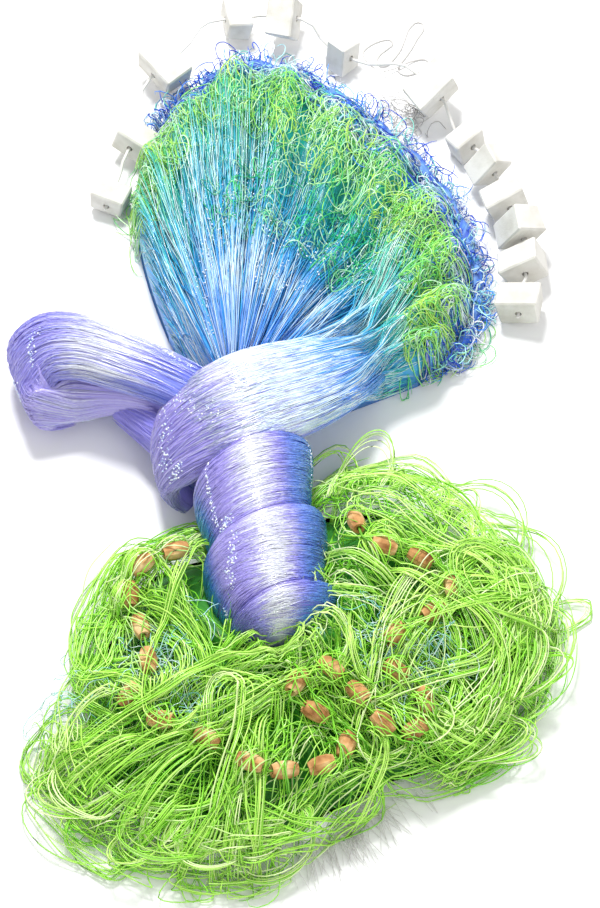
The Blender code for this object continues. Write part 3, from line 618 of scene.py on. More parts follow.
# strands in each bundle and the span of angles round it that they lie in; where its painted highlight lies along it,
# how wide that is, and how strongly it shows where the strands face up
knot = {
    "bight": {"strands": 560, "round": (0.0, 6.28), "paintedGlintAlong": 0.33, "paintedGlintWidth": 0.13, "faces": 1.15},
    "bightReturn": {"strands": 180, "round": (0.0, 6.28), "paintedGlintAlong": 0.50, "paintedGlintWidth": 0.2, "faces": 0.3},
    "shoulder": {"strands": 640, "round": (-3.7, 0.6), "paintedGlintAlong": 0.47, "paintedGlintWidth": 0.11, "faces": 1.1},
    "neck": {"strands": 230, "round": (0.0, 6.28), "paintedGlintAlong": 0.45, "paintedGlintWidth": 0.15, "faces": 0.3},
}
knotPoints, knotRadius = 16, 0.00024
for bundleName, look in knot.items():
    count = look["strands"]
    length = eachRow(0.4, 1.0, count)
    start = eachRow(0.0, 1.0, count) * (1 - length)
    along = start + length * np.linspace(0, 1, knotPoints)
    angle = eachRow(*look["round"], count) + smoothRandom(count, knotPoints, 3, 0.14)
    paths = bundleSurface(bundleName, along, angle, eachRow(0, 0.0010, count))
    startTone, endTone = bundleTones[bundleName]
    mixing = easeIn(along * 1.6) if bundleName == "shoulder" else along
    tone = startTone + (endTone - startTone) * mixing + rng.normal(0, 0.03, (count, 1))
    shade = 0.16 + (0.52 if look["faces"] > 0.5 else 0.46) * eachRow(0, 1, count)
    # painted highlight along each bundle, strongest on the strands that face up
    crest = paintedGlint(along, look["paintedGlintAlong"], look["paintedGlintWidth"], 0.6)
    shade = shade + look["faces"] * crest * easeIn(0.4 - np.sin(angle))
    strandPiece(f"{bundleName}_strands", paths, knotRadius, tone, shade, knotNylon, *asNetting)

# strands that sweep from the lower leg round the front of the bight's bend, and close its fold
sweep = {"strands": 300, "points": 14}
count = sweep["strands"]
level = eachRow(0, 1, count)
onLeg = bundleSurface("bightReturn", np.array((0.96, 0.72, 0.48, 0.22)) + 0 * level, -0.6 + 2.2 * level, 0.0012)
roundBend = 0.90 - 0.26 * level + np.array((0.0, -0.02, -0.05))
onBend = bundleSurface("bight", roundBend, np.array((0.15, -0.45, -1.0)) + rng.normal(0, 0.08, (count, 1)), 0.0014)
route = np.concatenate((onLeg, onBend), axis=1)
stops = eachRow(0, 0.8, count) + np.linspace(0, 1, sweep["points"]) * eachRow(4.2, 5.2, count)
paths = np.stack([throughRows(one, places) for one, places in zip(route, stops)])
# painted highlight round the bend, over a random tint
shade = 0.16 + 0.50 * eachRow(0, 1, count) + paintedGlint(stops, 3.2, 0.9, 0.25)
strandPiece("bight_sweep", paths, knotRadius, 0.03 + rng.normal(0, 0.03, (count, 1)) + 0 * stops, shade,
            knotNylon, *asNetting)

print("stage: fan strands")
spray = {"strands": 1250, "points": 13, "radius": 0.00034, "bundles": 19, "overCurls": 0.010}
count = spray["strands"]
leftFirst = np.linspace(1.7, 0.8, spray["bundles"])
bundle = rng.choice(spray["bundles"], count, p=leftFirst / leftFirst.sum())
bundlePlace = 0.05 + (lastFold - 0.1) * (np.arange(spray["bundles"]) + 0.5) / spray["bundles"]
rootPlace = bundlePlace[bundle] + rng.normal(0, 0.16, count)
atSide = between(0, 1, count)
atLeft, atRight = 0.03 + 0.9 * between(0, 1, count) ** 2, lastFold - between(0.7, 1.4, count)
rootPlace = np.where(atSide < 0.13, atLeft, np.where(atSide > 0.96, atRight, rootPlace))
rootPlace = np.clip(rootPlace, 0.02, lastFold - 0.7)
headPlace = rootPlace + rng.normal(0, 0.5, count)
endShare = np.where(rootPlace < 4.8, between(0.62, 1.06, count), between(0.35, 0.85, count))
share = eachRow(-0.02, 0.10, count) + endShare[:, None] * np.linspace(0, 1, spray["points"])
share = np.clip(share, 0, 0.99)
place = rootPlace[:, None] + (headPlace - rootPlace)[:, None] * easeIn(share * 1.1)
place = np.clip(place + smoothRandom(count, spray["points"], 4, 0.10) * share, 0.03, lastFold - 0.7)
above = eachRow(-0.003, 0.004, count) + smoothRandom(count, spray["points"], 4, 0.0012)
# on the left many strands run out over the curls to the fan's edge
overCurls = easeIn((5.6 - place) / 1.6) * easeIn((share - 0.60) / 0.22) * (atSide > 0.45)[:, None]
above = above + spray["overCurls"] * overCurls
paths = fanPoint(share, place, fanTop(share, place) + above)
sideways = easeIn(np.minimum(place, lastFold - place) / 2.0)
tone = 0.31 + 0.43 * share**1.1 * (0.4 + 0.6 * sideways) + 0.04 * (place < 2.5) + rng.normal(0, 0.05, (count, 1))
# painted highlight: a pale arc across the middle of the fan, over a random tint
shade = 0.9 * eachRow(0, 1, count) + paintedGlint(share, 0.33, 0.07, 0.45) * (place > 3)
shade = shade + 0.08 * easeIn((4.0 - place) / 2) * easeIn((share - 0.2) / 0.3)
strandPiece("fan_strands", paths, spray["radius"], tone, shade, fanNylon, *asNetting)

# the arm: strands that leave the shoulder and open out over the right of the fan
arm = {"strands": 700, "points": 14, "radius": 0.00032, "landsAt": 0.112}
count = arm["strands"]
crossing = between(0, 1, count)
alongShoulder = np.array((0.60, 0.46, 0.33, 0.21)) + rng.normal(0, 0.02, (count, 1))
fromShoulder = bundleSurface("shoulder", alongShoulder, -(0.2 + 2.7 * crossing)[:, None], 0.0012)
armStart, armEnd = 11.5 - 2.7 * crossing**1.5, 11.4 - 3.9 * crossing + rng.normal(0, 0.20, count)
armPlace = armStart[:, None] + (armEnd - armStart)[:, None] * np.array((0.0, 0.40, 0.75, 1.0))
armPlace = np.clip(armPlace + rng.normal(0, 0.07, (count, 4)), 0.1, lastFold - 0.68)
droop = np.where(crossing < 0.22, between(0.10, 1.0, count), 1.0)[:, None]
armReach = throughRows(folds, armPlace)[..., 1]
armOut = armReach * eachRow(0.80, 1.0, count) - arm["landsAt"]
armOut = arm["landsAt"] + armOut * np.array((0.0, 0.33, 0.67, 1.0))
reachShare = np.clip((armOut - fan["rootReach"]) / (armReach - fan["rootReach"]), 0, 0.98)
onFan = fanPoint(reachShare, armPlace, (fanTop(reachShare, armPlace) + eachRow(0.001, 0.006, count)) * droop)
route = np.concatenate((fromShoulder, onFan), axis=1)
stops = np.linspace(0, route.shape[1] - 1, arm["points"])
laid = throughRows(route.transpose(1, 0, 2).reshape(route.shape[1], -1), stops)
paths = laid.reshape(arm["points"], count, 3).transpose(1, 0, 2)
tone = 0.10 + 0.56 * easeIn(stops / 6.0)[None] + rng.normal(0, 0.05, (count, 1))
# painted highlight where the arm leaves the shoulder, over a random tint
shade = 0.16 + 0.90 * eachRow(0, 1, count) + paintedGlint(stops[None] + np.zeros((count, 1)), 1.3, 1.0, 0.5)
strandPiece("arm_strands", paths, arm["radius"], tone, shade, fanNylon, *asNetting)


# curls of wall mesh over the fan

def curlPaths(spot, radius, turns, drift, points, lean, flatten):
    # a wandering loop about each spot: centre + drift t + r (cos p, sin p), p = start + 2 pi turns t
    count = len(spot)
    t = np.linspace(0, 1, points)[None]
    phase = eachRow(0, 2 * np.pi, count) + 2 * np.pi * turns[:, None] * t + smoothRandom(count, points, 4, 0.5)
    size = radius[:, None] * (1 + smoothRandom(count, points, 4, 0.45))
    heading = eachRow(0, 2 * np.pi, count)
    lean = lean[:, None]
    along, beside = size * np.cos(phase), size * np.sin(phase) * flatten
    px = spot[:, :1] + np.cos(heading) * drift[:, None] * (t - 0.5) + along * np.cos(lean) - beside * np.sin(lean)
    py = spot[:, 1:2] + np.sin(heading) * drift[:, None] * (t - 0.5) + along * np.sin(lean) + beside * np.cos(lean)
    return px, py, np.sin(phase + 1.0)


def layCurls(spot, look, scale=1.0):
    # curls drawn from the ranges in look; with "outward", their long axes lie roughly along the fan's radius
    count = len(spot)
    radius, turns, drift = (between(*look[key], count) for key in ("radius", "turns", "drift"))
    if "outward" in look:
        lean = np.arctan2(spot[:, 1] - fan["root"][1], spot[:, 0] - fan["root"][0])
        lean = lean + rng.normal(0, look["outward"], count)
    else:
        lean = between(0, np.pi, count)
    return curlPaths(spot, radius * scale, turns, drift, look["points"], lean, look["flatten"])


print("stage: curls over the fan")
curls = {"strands": 860, "points": 20, "thick": 0.00042, "radius": (0.004, 0.0135), "turns": (0.5, 1.5),
         "drift": (0.0, 0.03), "outward": 0.45, "flatten": 0.5, "inHollow": 0.24}
# inner and outer edge of the curled band, as shares of the reach, across the folds
bandPlaces = (0.0, 1.5, 3.0, 4.5, 6.0, 7.5, 9.0, 10.5, 12.0)
bandInner = (0.92, 0.84, 0.78, 0.77, 0.74, 0.72, 0.72, 0.78, 0.82)
bandOuter = (1.00, 0.99, 0.97, 0.95, 0.92, 0.92, 0.94, 0.98, 1.00)
count = curls["strands"]
inHollow = between(0, 1, count) < curls["inHollow"]
place = np.where(inHollow, between(3.4, 8.2, count), 1.0 + (lastFold - 2.0) * between(0, 1, count) ** 0.78)
inner, outer = np.interp(place, bandPlaces, bandInner), np.interp(place, bandPlaces, bandOuter)
share = np.where(inHollow, between(0.46, 0.74, count), inner + (outer - inner) * rng.beta(1.3, 1.1, count))
spot = fanPoint(share, place, 0.0)[:, :2]
px, py, lift = layCurls(spot, curls)
rise = np.where(inHollow, between(0.000, 0.006, count), between(0.002, 0.013, count))
pz = fanHeightAt(px, py) + rise[:, None] + 0.0022 * lift
# brighter and greener patches take turns across the folds
patch = 0.16 * np.sin(2.6 * place + 0.6) * np.cos(9 * share)
tone = np.where(inHollow, between(0.0, 0.40, count), np.clip(0.42 + 0.58 * rng.beta(1.3, 1.0, count) + patch, 0.3, 1.0))
strandPiece("wall_curls", stack(px, py, np.maximum(pz, 0.001)), curls["thick"], tone, between(0, 1, count),
            curlTwine, *asHeadWalls)

print("stage: hanging twine")
hanging = {"strands": 900, "points": 18, "thick": 0.00046, "radius": (0.003, 0.0085), "turns": (0.8, 1.9),
           "drift": (0.0, 0.026), "flatten": 0.6}
twineStops = ((0.0, "#122a90"), (0.5, "#1d49c0"), (1.0, "#3478e0"))
twineBody = netBodyMaterial("tangledTwineMass", twineStops, "#9fd4ee", 40.0, Roughness=0.6)
# the twine's core is a lumpy roll just outside the fan's edge
roll = {"rings": 160, "height": 0.0090, "out": 0.0125, "thick": 0.0068, "lumps": 0.0018}
corePlace = np.linspace(2.9, lastFold - 0.9, roll["rings"])[:, None]
coreEdge = fanPoint(1.0, corePlace, roll["height"])
coreOut = np.concatenate((unit(coreEdge[..., :2] - fan["root"]), np.zeros((roll["rings"], 1, 1))), axis=-1)
coreAngle = np.linspace(0, 2 * np.pi, 10, endpoint=False)[None, :, None]
coreThick = roll["thick"] + roll["lumps"] * np.sin(9 * corePlace)[..., None]
coreRings = coreEdge + coreOut * (roll["out"] + coreThick * np.cos(coreAngle))
coreRings = coreRings + np.array((0, 0, 1)) * coreThick * np.sin(coreAngle)
bodyPiece("hanging_twine_core", coreRings, twineBody, *asTwine,
          0.5 + 0.4 * np.sin(23 * corePlace) * np.sin(3 * coreAngle[..., 0]), between(0, 0.6, roll["rings"], 10))
count = hanging["strands"]
place = between(2.5, lastFold - 0.8, count)
edge = fanPoint(1.0, place, 0.0)[:, :2]
outward = unit(edge - fan["root"])
inwardMost = np.interp(place, (2.5, 4.0, 5.5, 9.0, 11.2), (-0.004, -0.012, -0.036, -0.030, -0.008))
offset = inwardMost + (0.025 - inwardMost) * rng.beta(1.4, 1.15, count)
spot = edge + outward * offset[:, None]
px, py, lift = layCurls(spot, hanging)
onFan = fanHeightAt(px, py)
height = np.clip(rng.normal(0.012, 0.006, count), 0.002, 0.024)[:, None]
pz = np.maximum(np.where(onFan > 0.004, onFan + 0.35 * height, height) + 0.003 * lift, 0.0012)
tone = between(0, 1, count) ** np.where(offset < 0, 0.7, 1.0)
strandPiece("hanging_twine_curls", stack(px, py, pz), hanging["thick"], tone, between(0, 1, count),
            blueTwine, *asTwine)

print("stage: heap")
# the heap's core is a dark sheet of painted shade for the depths between the strands, darker towards its rim
heapStops = ((0.0, "#1a5a14"), (0.4, "#2c8420"), (0.7, "#4aae2c"), (1.0, "#7ccc40"))
heapBody = netBodyMaterial("shadedWallMesh", heapStops, "#9be63a", 90.0, Roughness=0.6)
bearings = np.linspace(-180, 180, 150, endpoint=False)[None]
shares = (1 - np.linspace(0, 0.97, 32) ** 2)[:, None]
heapCore = {"scale": 0.80, "below": 0.013, "floor": 0.0005}
lowered = heapPoint(shares * heapCore["scale"], bearings, 0)
lowered[..., 2] = np.maximum(heapTop(shares, bearings) - heapCore["below"], heapCore["floor"])
lowered[0, :, 2] = heapCore["floor"]
bodyPiece("heap_core", lowered, heapBody, *asFootWalls, 0.25 + 0.4 * (1 - shares))

# the heap's twine runs in currents: a share of the strands, and the spots of its guide on the floor in mm
currents = (
    (1.3, (-48, -98), (-78, -94), (-110, -114), (-131, -152), (-138, -197), (-128, -238), (-100, -263)),
    (1.2, (-52, -131), (-78, -127), (-100, -148), (-107, -180), (-103, -222), (-78, -247)),
    (0.6, (-50, -150), (-58, -189), (-61, -230), (-44, -255)),
    (2.2, (16, -222), (-26, -236), (-68, -263), (-117, -284), (-162, -300)),
    (1.9, (37, -230), (-5, -263), (-54, -300), (-103, -337), (-118, -352)),
    (1.3, (-19, -255), (-26, -296), (-33, -345), (-40, -385)),
    (0.5, (-152, -292), (-96, -312), (-40, -328), (16, -340), (60, -335)),
    (2.6, (42, -148), (36, -197), (44, -246), (86, -283), (142, -300), (188, -300)),
    (1.9, (50, -180), (60, -221), (100, -254), (149, -275), (195, -280)),
    (1.2, (42, -100), (72, -82), (107, -98), (142, -131), (177, -164), (200, -197)),
    (1.2, (50, -131), (86, -147), (128, -172), (170, -213), (196, -254)),
    (1.1, (198, -148), (156, -180), (114, -213), (72, -230), (44, -254)),
    (0.9, (36, -115), (51, -75), (86, -58), (114, -82), (100, -122)),
    (0.7, (150, -125), (190, -145), (212, -186), (196, -213), (165, -213)),
    (0.8, (37, -255), (58, -296), (37, -332), (-12, -352), (-61, -337)),
    (1.2, (60, -150), (95, -185), (125, -225), (135, -270)),
    (1.2, (170, -150), (135, -160), (105, -190), (85, -235), (95, -275)),
    (0.9, (-120, -160), (-90, -185), (-60, -225), (-50, -270)),
    (0.8, (16, -280), (-19, -312), (-68, -329), (-117, -312), (-152, -263)),
)
currentWeights = np.array([weight for weight, *_ in currents])
guides = np.stack([throughRows(millimetres(*spots), np.linspace(0, len(spots) - 1, 28)) for _, *spots in currents])
guideWays = unit(np.gradient(guides, axis=1))


def toLeftOf(ways):
    # each way turned a quarter to the left: (-y, x)
    return np.stack((-ways[:, 1], ways[:, 0]), axis=-1)


def walkCurrents(clumps, clumpSize, points, spread, turnLimit, wander):
    # clumps of nearly parallel strands step along the guides; at a guide's end they turn back in a loop
    count = clumps * clumpSize

    def shared(numbers):
        return np.repeat(numbers, clumpSize, axis=0)

    current = shared(rng.choice(len(currents), clumps, p=currentWeights / currentWeights.sum()))
    at = shared(rng.integers(0, guides.shape[1], clumps))
    sense = shared(rng.choice((-1.0, 1.0), clumps))
    aside = shared(rng.normal(0, spread, clumps)) + rng.normal(0, 0.0026, count)
    ways = guideWays[current, at]
    spot = guides[current, at] + toLeftOf(ways) * aside[:, None]
    heading = np.arctan2(ways[:, 1], ways[:, 0]) + np.where(sense < 0, np.pi, 0)
    heading = heading + shared(rng.normal(0, 0.3, clumps)) + rng.normal(0, 0.05, count)
    stepLength = shared(between(0.0044, 0.0068, clumps)) * between(0.93, 1.07, count)
    limit = turnLimit * shared(between(0.6, 1.4, clumps))
    bend = shared(smoothRandom(clumps, points, 8, wander)) + smoothRandom(count, points, 8, 0.35 * wander)
    spots = np.empty((count, points, 2))
    for i in range(points):
        spots[:, i] = spot
        offset = spot[:, None] - guides[current]
        at = np.linalg.norm(offset, axis=-1).argmin(axis=1)
        sense = np.where(at >= guides.shape[1] - 1, -1.0, np.where(at <= 0, 1.0, sense))
        ways = guideWays[current, at] * sense[:, None]
        beside = np.einsum("ij,ij->i", offset[np.arange(count), at], toLeftOf(ways))
        wanted = np.arctan2(ways[:, 1], ways[:, 0]) - np.clip((beside - aside * sense) * 25, -0.9, 0.9)
        turn = (wanted - heading + np.pi) % (2 * np.pi) - np.pi
        heading = heading + np.clip(0.35 * turn, -limit, limit) + bend[:, i]
        spot = spot + stepLength[:, None] * np.stack((np.cos(heading), np.sin(heading)), axis=-1)
    return spots


def heapHeightAt(x, y):
    # height of the heap under a spot, 0 outside it
    dx, dy = x - heap["centre"][0], y - heap["centre"][1]
    bearing = np.degrees(np.arctan2(dx, dy))
    share = np.hypot(dx, dy) / heapReach(bearing)
    return heapTop(share, bearing), share


def keepInOutline(spots, soft, most):
    # beyond the share "soft" of its outline a strand is drawn in, so that it never passes the share "most"
    offset = spots - heap["centre"]
    distance = np.linalg.norm(offset, axis=-1)
    outline = heapReach(np.degrees(np.arctan2(offset[..., 0], offset[..., 1])))
    room = np.maximum(most - soft, 0.01)
    share = distance / outline
    drawn = np.where(share > soft, soft + room * (1 - np.exp(-(share - soft) / room)), share)
    return heap["centre"] + offset * (drawn / np.maximum(share, 1e-6))[..., None]


def inRoom(paths):
    # kept inside the room that loose strands may take
    return np.clip(paths, (-0.2100, -0.3940, 0.0010), (0.2160, 0.4, 0.09))


# how a clump lies: share of the outline where it turns back, room past it, depth that its ends dive, lumps
laying = {"edge": (0.74, 1.00), "room": 0.09, "dive": 0.016, "ripple": 0.0040, "overSinkers": 0.22}


def layOnHeap(spots, clumpSize, low, high):
    # height of the heap + a level for each clump + a smooth ripple; both ends of a strand dive into the heap
    count, points = spots.shape[:2]
    clumps = count // clumpSize
    offset = spots - heap["centre"]
    toLeft = easeIn((-0.02 - offset[..., 0]) / 0.10) * easeIn((0.02 + offset[..., 1]) / 0.04)
    toViewer = easeIn((-0.03 - offset[..., 1]) / 0.05) * easeIn((0.05 - offset[..., 0]) / 0.05)
    edge = np.repeat(between(*laying["edge"], clumps), clumpSize)[:, None] + smoothRandom(count, points, 4, 0.05)
    edge = edge - 0.07 * toLeft + 0.07 * toViewer
    spots = keepInOutline(spots, edge, edge + laying["room"] * eachRow(0, 1, count))
    surface, share = heapHeightAt(spots[..., 0], spots[..., 1])
    outside = easeIn((share - 0.92) / 0.12)
    level = np.repeat(between(low, high, clumps), clumpSize)[:, None] + rng.normal(0, 0.0012, (count, 1))
    above = level + np.repeat(smoothRandom(clumps, points, 6, laying["ripple"]), clumpSize, axis=0)
    fromEnd = np.minimum(np.linspace(0, 1, points), np.linspace(1, 0, points))
    dive = laying["dive"] * (1 - easeIn(fromEnd / 0.14))
    height = surface + above * (1 - 0.5 * outside) - dive
    height = np.maximum(height, 0.0012 + 0.010 * outside * eachRow(0, 1, count))
    paths = underTrunk(np.concatenate((spots, height[..., None]), axis=-1))
    paths = inRoom(aroundSinkers(paths, laying["overSinkers"]))
    # painted shade: strands lower in the heap are darker, higher ones lighter
    tone = 0.55 + 22 * above + rng.normal(0, 0.12, (count, 1))
    return paths, np.clip(tone, 0, 1)


# under layer and top layer: clumps, strands in a clump, spread, turn limit, wander, lowest and highest level
heapLayers = {
    "heap_tangle": (200, 3, 0.022, 0.55, 0.26, -0.011, 0.003),
    "heap_currents": (86, 8, 0.012, 0.42, 0.09, -0.001, 0.011),
}
heapPoints, heapRadius = 34, 0.00052
for pieceName, (clumps, clumpSize, spread, turnLimit, wander, low, high) in heapLayers.items():
    spots = walkCurrents(clumps, clumpSize, heapPoints, spread, turnLimit, wander)
    paths, tone = layOnHeap(spots, clumpSize, low, high)
    shade = np.repeat(between(0, 0.45, clumps), clumpSize) + between(0, 0.6, len(paths))
    strandPiece(pieceName, paths, heapRadius, tone, shade, greenTwine, *asFootWalls)

# loops that stand out of the heap's rim: out by the cosine and along the rim by the sine of one angle
rim = {"clumps": 54, "clumpSize": 5, "points": 22, "radius": 0.00050}
count = rim["clumps"] * rim["clumpSize"]


def inClump(low, high, jitter):
    # one random number for each clump, and a little more for each strand in it
    return (np.repeat(between(low, high, rim["clumps"]), rim["clumpSize"]) + rng.normal(0, jitter, count))[:, None]


bearing = rng.choice((-118.0, -134.0, -150.0, -166.0, 178.0, 14.0, 30.0, 48.0, 66.0, 84.0, 100.0), rim["clumps"])
bearing = np.repeat(bearing + rng.normal(0, 9, rim["clumps"]), rim["clumpSize"])
t = np.linspace(0, 1, rim["points"])[None]
opening = inClump(1.6, 2.5, 0.05)
turned = (2 * t - 1) * opening
reachOut = 0.78 + inClump(0.10, 0.36, 0.020) * (np.cos(turned) - np.cos(opening)) / (1 - np.cos(opening))
rimBearing = bearing[:, None] + inClump(4, 13, 0.8) * np.sin(turned)
px, py = heapSpot(reachOut, rimBearing)
inHeap = heapTop(reachOut, rimBearing) * (reachOut < 1)
pz = np.maximum(inHeap, inClump(0.002, 0.034, 0.002) * np.sin(np.pi * t)) + 0.002
paths = underTrunk(inRoom(stack(px, py, pz)))
strandPiece("heap_rim_loops", paths, rim["radius"], between(0.4, 1, count), between(0.1, 1, count),
            greenTwine, *asFootWalls)

# a few loops that lie over the edges of the wound end
overEdge = millimetres((40, -160), (46, -180), (40, -205), (18, -228), (-22, -224), (-38, -196))
endLoops = {"strands": 54, "points": 18, "thick": 0.00046, "radius": (0.009, 0.019), "turns": (0.35, 0.8),
            "drift": (0.0, 0.02), "flatten": 0.6}
count = endLoops["strands"]
spot = overEdge[rng.integers(0, len(overEdge), count)] + rng.normal(0, 0.004, (count, 2))
px, py, lift = layCurls(spot, endLoops)
fromAxis = trunkDistance(stack(px, py, 0))
pz = 0.040 + 0.030 * easeIn((0.048 - fromAxis) / 0.030) + eachRow(0, 0.006, count) + 0.002 * lift
strandPiece("loops_over_wound_end", stack(px, py, pz), endLoops["thick"], between(0.3, 1, count), between(0, 1, count),
            greenTwine, *asFootWalls)

# fine inner netting that shows through the heap
finePatches = millimetres((-88, -232), (-70, -215), (85, -236), (105, -225), (-135, -255), (-60, -250), (60, -205))
fine = {"strands": 270, "points": 10, "thick": 0.00030, "radius": (0.006, 0.016), "turns": (0.15, 0.5),
        "drift": (0.0, 0.02), "flatten": 0.6}
count = fine["strands"]
spot = finePatches[rng.integers(0, len(finePatches), count)] + rng.normal(0, 0.012, (count, 2))
px, py, lift = layCurls(spot, fine)
surface, _ = heapHeightAt(px, py)
pz = surface + eachRow(-0.003, 0.008, count) + 0.001 * lift
paths = underTrunk(stack(px, py, np.maximum(pz, 0.001)))
strandPiece("fine_netting_in_heap", paths, fine["thick"], 0.56 + 0.12 * between(0, 1, count),
            0.62 + 0.38 * between(0, 1, count), fanNylon, *asNetting)

# pale cut ends that stick out under the foot of the heap
ends = {"strands": 130, "bearing": 154, "spread": 13, "thick": 0.00024}
count = ends["strands"]
bearing = ends["bearing"] + rng.normal(0, 1, count) * ends["spread"]
start = heapPoint(between(0.80, 1.0, count), bearing, 0)[:, :2]
way = np.radians(bearing + rng.normal(0, 22, count))
length = between(0.010, 0.032, count)
t = np.linspace(0, 1, 5)[None]
px = start[:, :1] + np.sin(way)[:, None] * length[:, None] * t
py = start[:, 1:2] + np.cos(way)[:, None] * length[:, None] * t
pz = 0.010 * (1 - t) * eachRow(0.3, 1, count) + 0.0008
strandPiece("cut_ends_at_foot", stack(px, py, pz), ends["thick"], 0.5, 0.9 + 0 * length, whiteCord, *asNetting)

# little knots of the netting, in rows and clusters

print("stage: net knots")


def knotRow(surface, start, end, count, jitter):
    # spots between two places on a surface, jittered on it
    t = between(0, 1, count)
    first = start[0] + (end[0] - start[0]) * t + rng.normal(0, jitter, count)
    second = start[1] + (end[1] - start[1]) * t + rng.normal(0, 2.2 * jitter, count)
    return surface(first, second, 0.0008)


def onBundle(name):
    # the surface of one bundle
    return lambda *where: bundleSurface(name, *where)


def onFan(share, place, above):
    # 3 mm over the fan's surface, among its strands
    return fanPoint(share, place, fanTop(share, place) + 0.003 + above)


knotRows = (
    (trunkSurface, (0.22, -0.85), (0.50, -0.95), 70, 0.010),
    (trunkSurface, (0.50, -0.62), (0.54, -0.90), 60, 0.012),
    (trunkSurface, (0.10, 1.20), (0.34, 1.35), 40, 0.012),
    (trunkSurface, (0.62, -0.50), (0.80, -0.80), 70, 0.020),
    (trunkSurface, (0.84, -1.15), (0.92, -1.25), 30, 0.012),
    (onBundle("bight"), (0.58, -1.9), (0.62, -1.0), 36, 0.012),
    (onBundle("bight"), (0.74, -1.5), (0.80, -0.6), 36, 0.014),
    (onBundle("bightReturn"), (0.25, -0.3), (0.42, -0.9), 40, 0.030),
    (onBundle("bight"), (0.22, -2.4), (0.10, -2.0), 36, 0.020),
    (onBundle("shoulder"), (0.56, -1.2), (0.66, -2.2), 60, 0.020),
    (onBundle("shoulder"), (0.68, -2.3), (0.76, -0.9), 70, 0.016),
    (onBundle("shoulder"), (0.72, -0.8), (0.80, -0.5), 40, 0.016),
    (onBundle("neck"), (0.30, -0.9), (0.60, -0.6), 40, 0.030),
    (onFan, (0.20, 2.0), (0.45, 3.0), 60, 0.050),
    (onFan, (0.50, 3.2), (0.66, 5.0), 120, 0.050),
    (onFan, (0.46, 5.0), (0.60, 8.4), 110, 0.045),
    (onFan, (0.30, 5.0), (0.40, 7.5), 50, 0.030),
)
spots = np.concatenate([knotRow(*row) for row in knotRows])
octahedron = np.array(((1, 0, 0), (-1, 0, 0), (0, 1, 0), (0, -1, 0), (0, 0, 1), (0, 0, -1)), float)
octahedronFaces = np.array(((0, 2, 4), (2, 1, 4), (1, 3, 4), (3, 0, 4), (2, 0, 5), (1, 2, 5), (3, 1, 5), (0, 3, 5)))
size = between(0.00045, 0.00105, len(spots))
turned = unit(rng.normal(size=(len(spots), 3)))
beadPoints = spots[:, None] + octahedron * size[:, None, None] + 0.25 * turned[:, None] * size[:, None, None]
beadFaces = (np.arange(len(spots))[:, None, None] * 6 + octahedronFaces).reshape(-1, 3)
makePiece("net_knots", beadPoints.reshape(-1, 3), (beadFaces,), knotBead, *asNetting,
          {"tone": np.repeat(between(0, 1, len(spots)), 6), "shade": np.repeat(between(0, 1, len(spots)), 6)})

# stray loops that lie on the floor

print("stage: stray loops")
# centre and radius of each in mm: by the right edge of the fan, and at its left edge
strays = millimetres(
    (140, 48, 12), (124, 42, 9), (146, 62, 15), (132, 52, 8), (104, 26, 8),
    (90, 14, 7), (-104, 140, 6), (-116, 175, 7), (-120, 190, 6))
stray = {"points": 30, "thick": 0.00042, "radius": (0.7, 1.1), "turns": (0.6, 1.1), "drift": (0, 0.010), "flatten": 0.8}
strays = np.repeat(strays, 3, axis=0)
count = len(strays)
px, py, lift = layCurls(strays[:, :2] + rng.normal(0, 0.003, (count, 2)), stray, strays[:, 2])
pz = fanHeightAt(px, py) * 0.6 + 0.0022 + 0.0012 * lift
strandPiece("stray_loops", stack(px, py, pz), stray["thick"], between(0.2, 0.8, count), between(0, 1, count),
            curlTwine, *asHeadWalls)

# crumpled white line ends beside the tie cord
crumple = {"strands": 34, "points": 22, "thick": 0.00040, "radius": (0.004, 0.009), "turns": (0.5, 1.6),
           "drift": (0, 0.02), "flatten": 0.6}
count = crumple["strands"]
spot = np.array((0.094, 0.268)) + rng.normal(0, 1, (count, 2)) * (0.014, 0.012)
px, py, lift = layCurls(spot, crumple)
pz = np.maximum(fanHeightAt(px, py), 0) + 0.004 + 0.003 * lift
strandPiece("white_line_curls", stack(px, py, pz), crumple["thick"], between(0, 1, count), between(0.2, 1, count),
            whiteCord, "headline_cord", ("hanging_twine",))

# free tie cord

print("stage: cords, floats and sinkers")
tie = {"diameter": 0.0014, "points": 84}
tieRoute = [tuple(value / 1000 for value in spot) for spot in (  # in mm
    (86, 308, 10), (81, 313, 5), (73.5, 320, 1.2), (67.5, 327.5, 0.8), (66, 335.5, 0.8), (72, 342.5, 0.8),
    (80, 347, 0.8), (87, 348, 0.8), (89.5, 343.5, 0.8), (85, 338.5, 0.8), (79.5, 333, 0.8), (76.5, 326.5, 1),
    (79, 320.5, 1.4), (85, 321.5, 1), (90.5, 329, 0.8), (95.5, 337.5, 0.8), (99, 348, 0.8), (102.5, 359, 0.8),
    (108, 366, 0.8), (113.5, 365, 0.8), (114, 358, 0.8), (109, 349, 0.8), (105, 340, 0.8), (100, 331, 0.8),
    (95, 322.5, 0.8), (93.5, 315.5, 0.8), (98.5, 311.5, 0.8), (105.5, 313, 0.8), (112.5, 316.5, 0.8),
    (117.5, 321.5, 0.8), (116, 327, 0.8), (110, 327.5, 1), (103, 324.5, 1.8), (97, 320.5, 3), (90.5, 316.5, 3),
    (85, 313.5, 4.4), (79, 309.5, 5.2), (73.5, 305.5, 4),
)]
tiePath = throughRows(tieRoute, np.linspace(0, len(tieRoute) - 1, tie["points"]))[None]
tiePiece = strandPiece("tie_cord_line", tiePath, tie["diameter"] / 2, 0.4, 0.3, whiteCord, "tie_cord", ("tie_cord",),
                       sides=8)

# floats, sinkers and their lines keep their built shapes

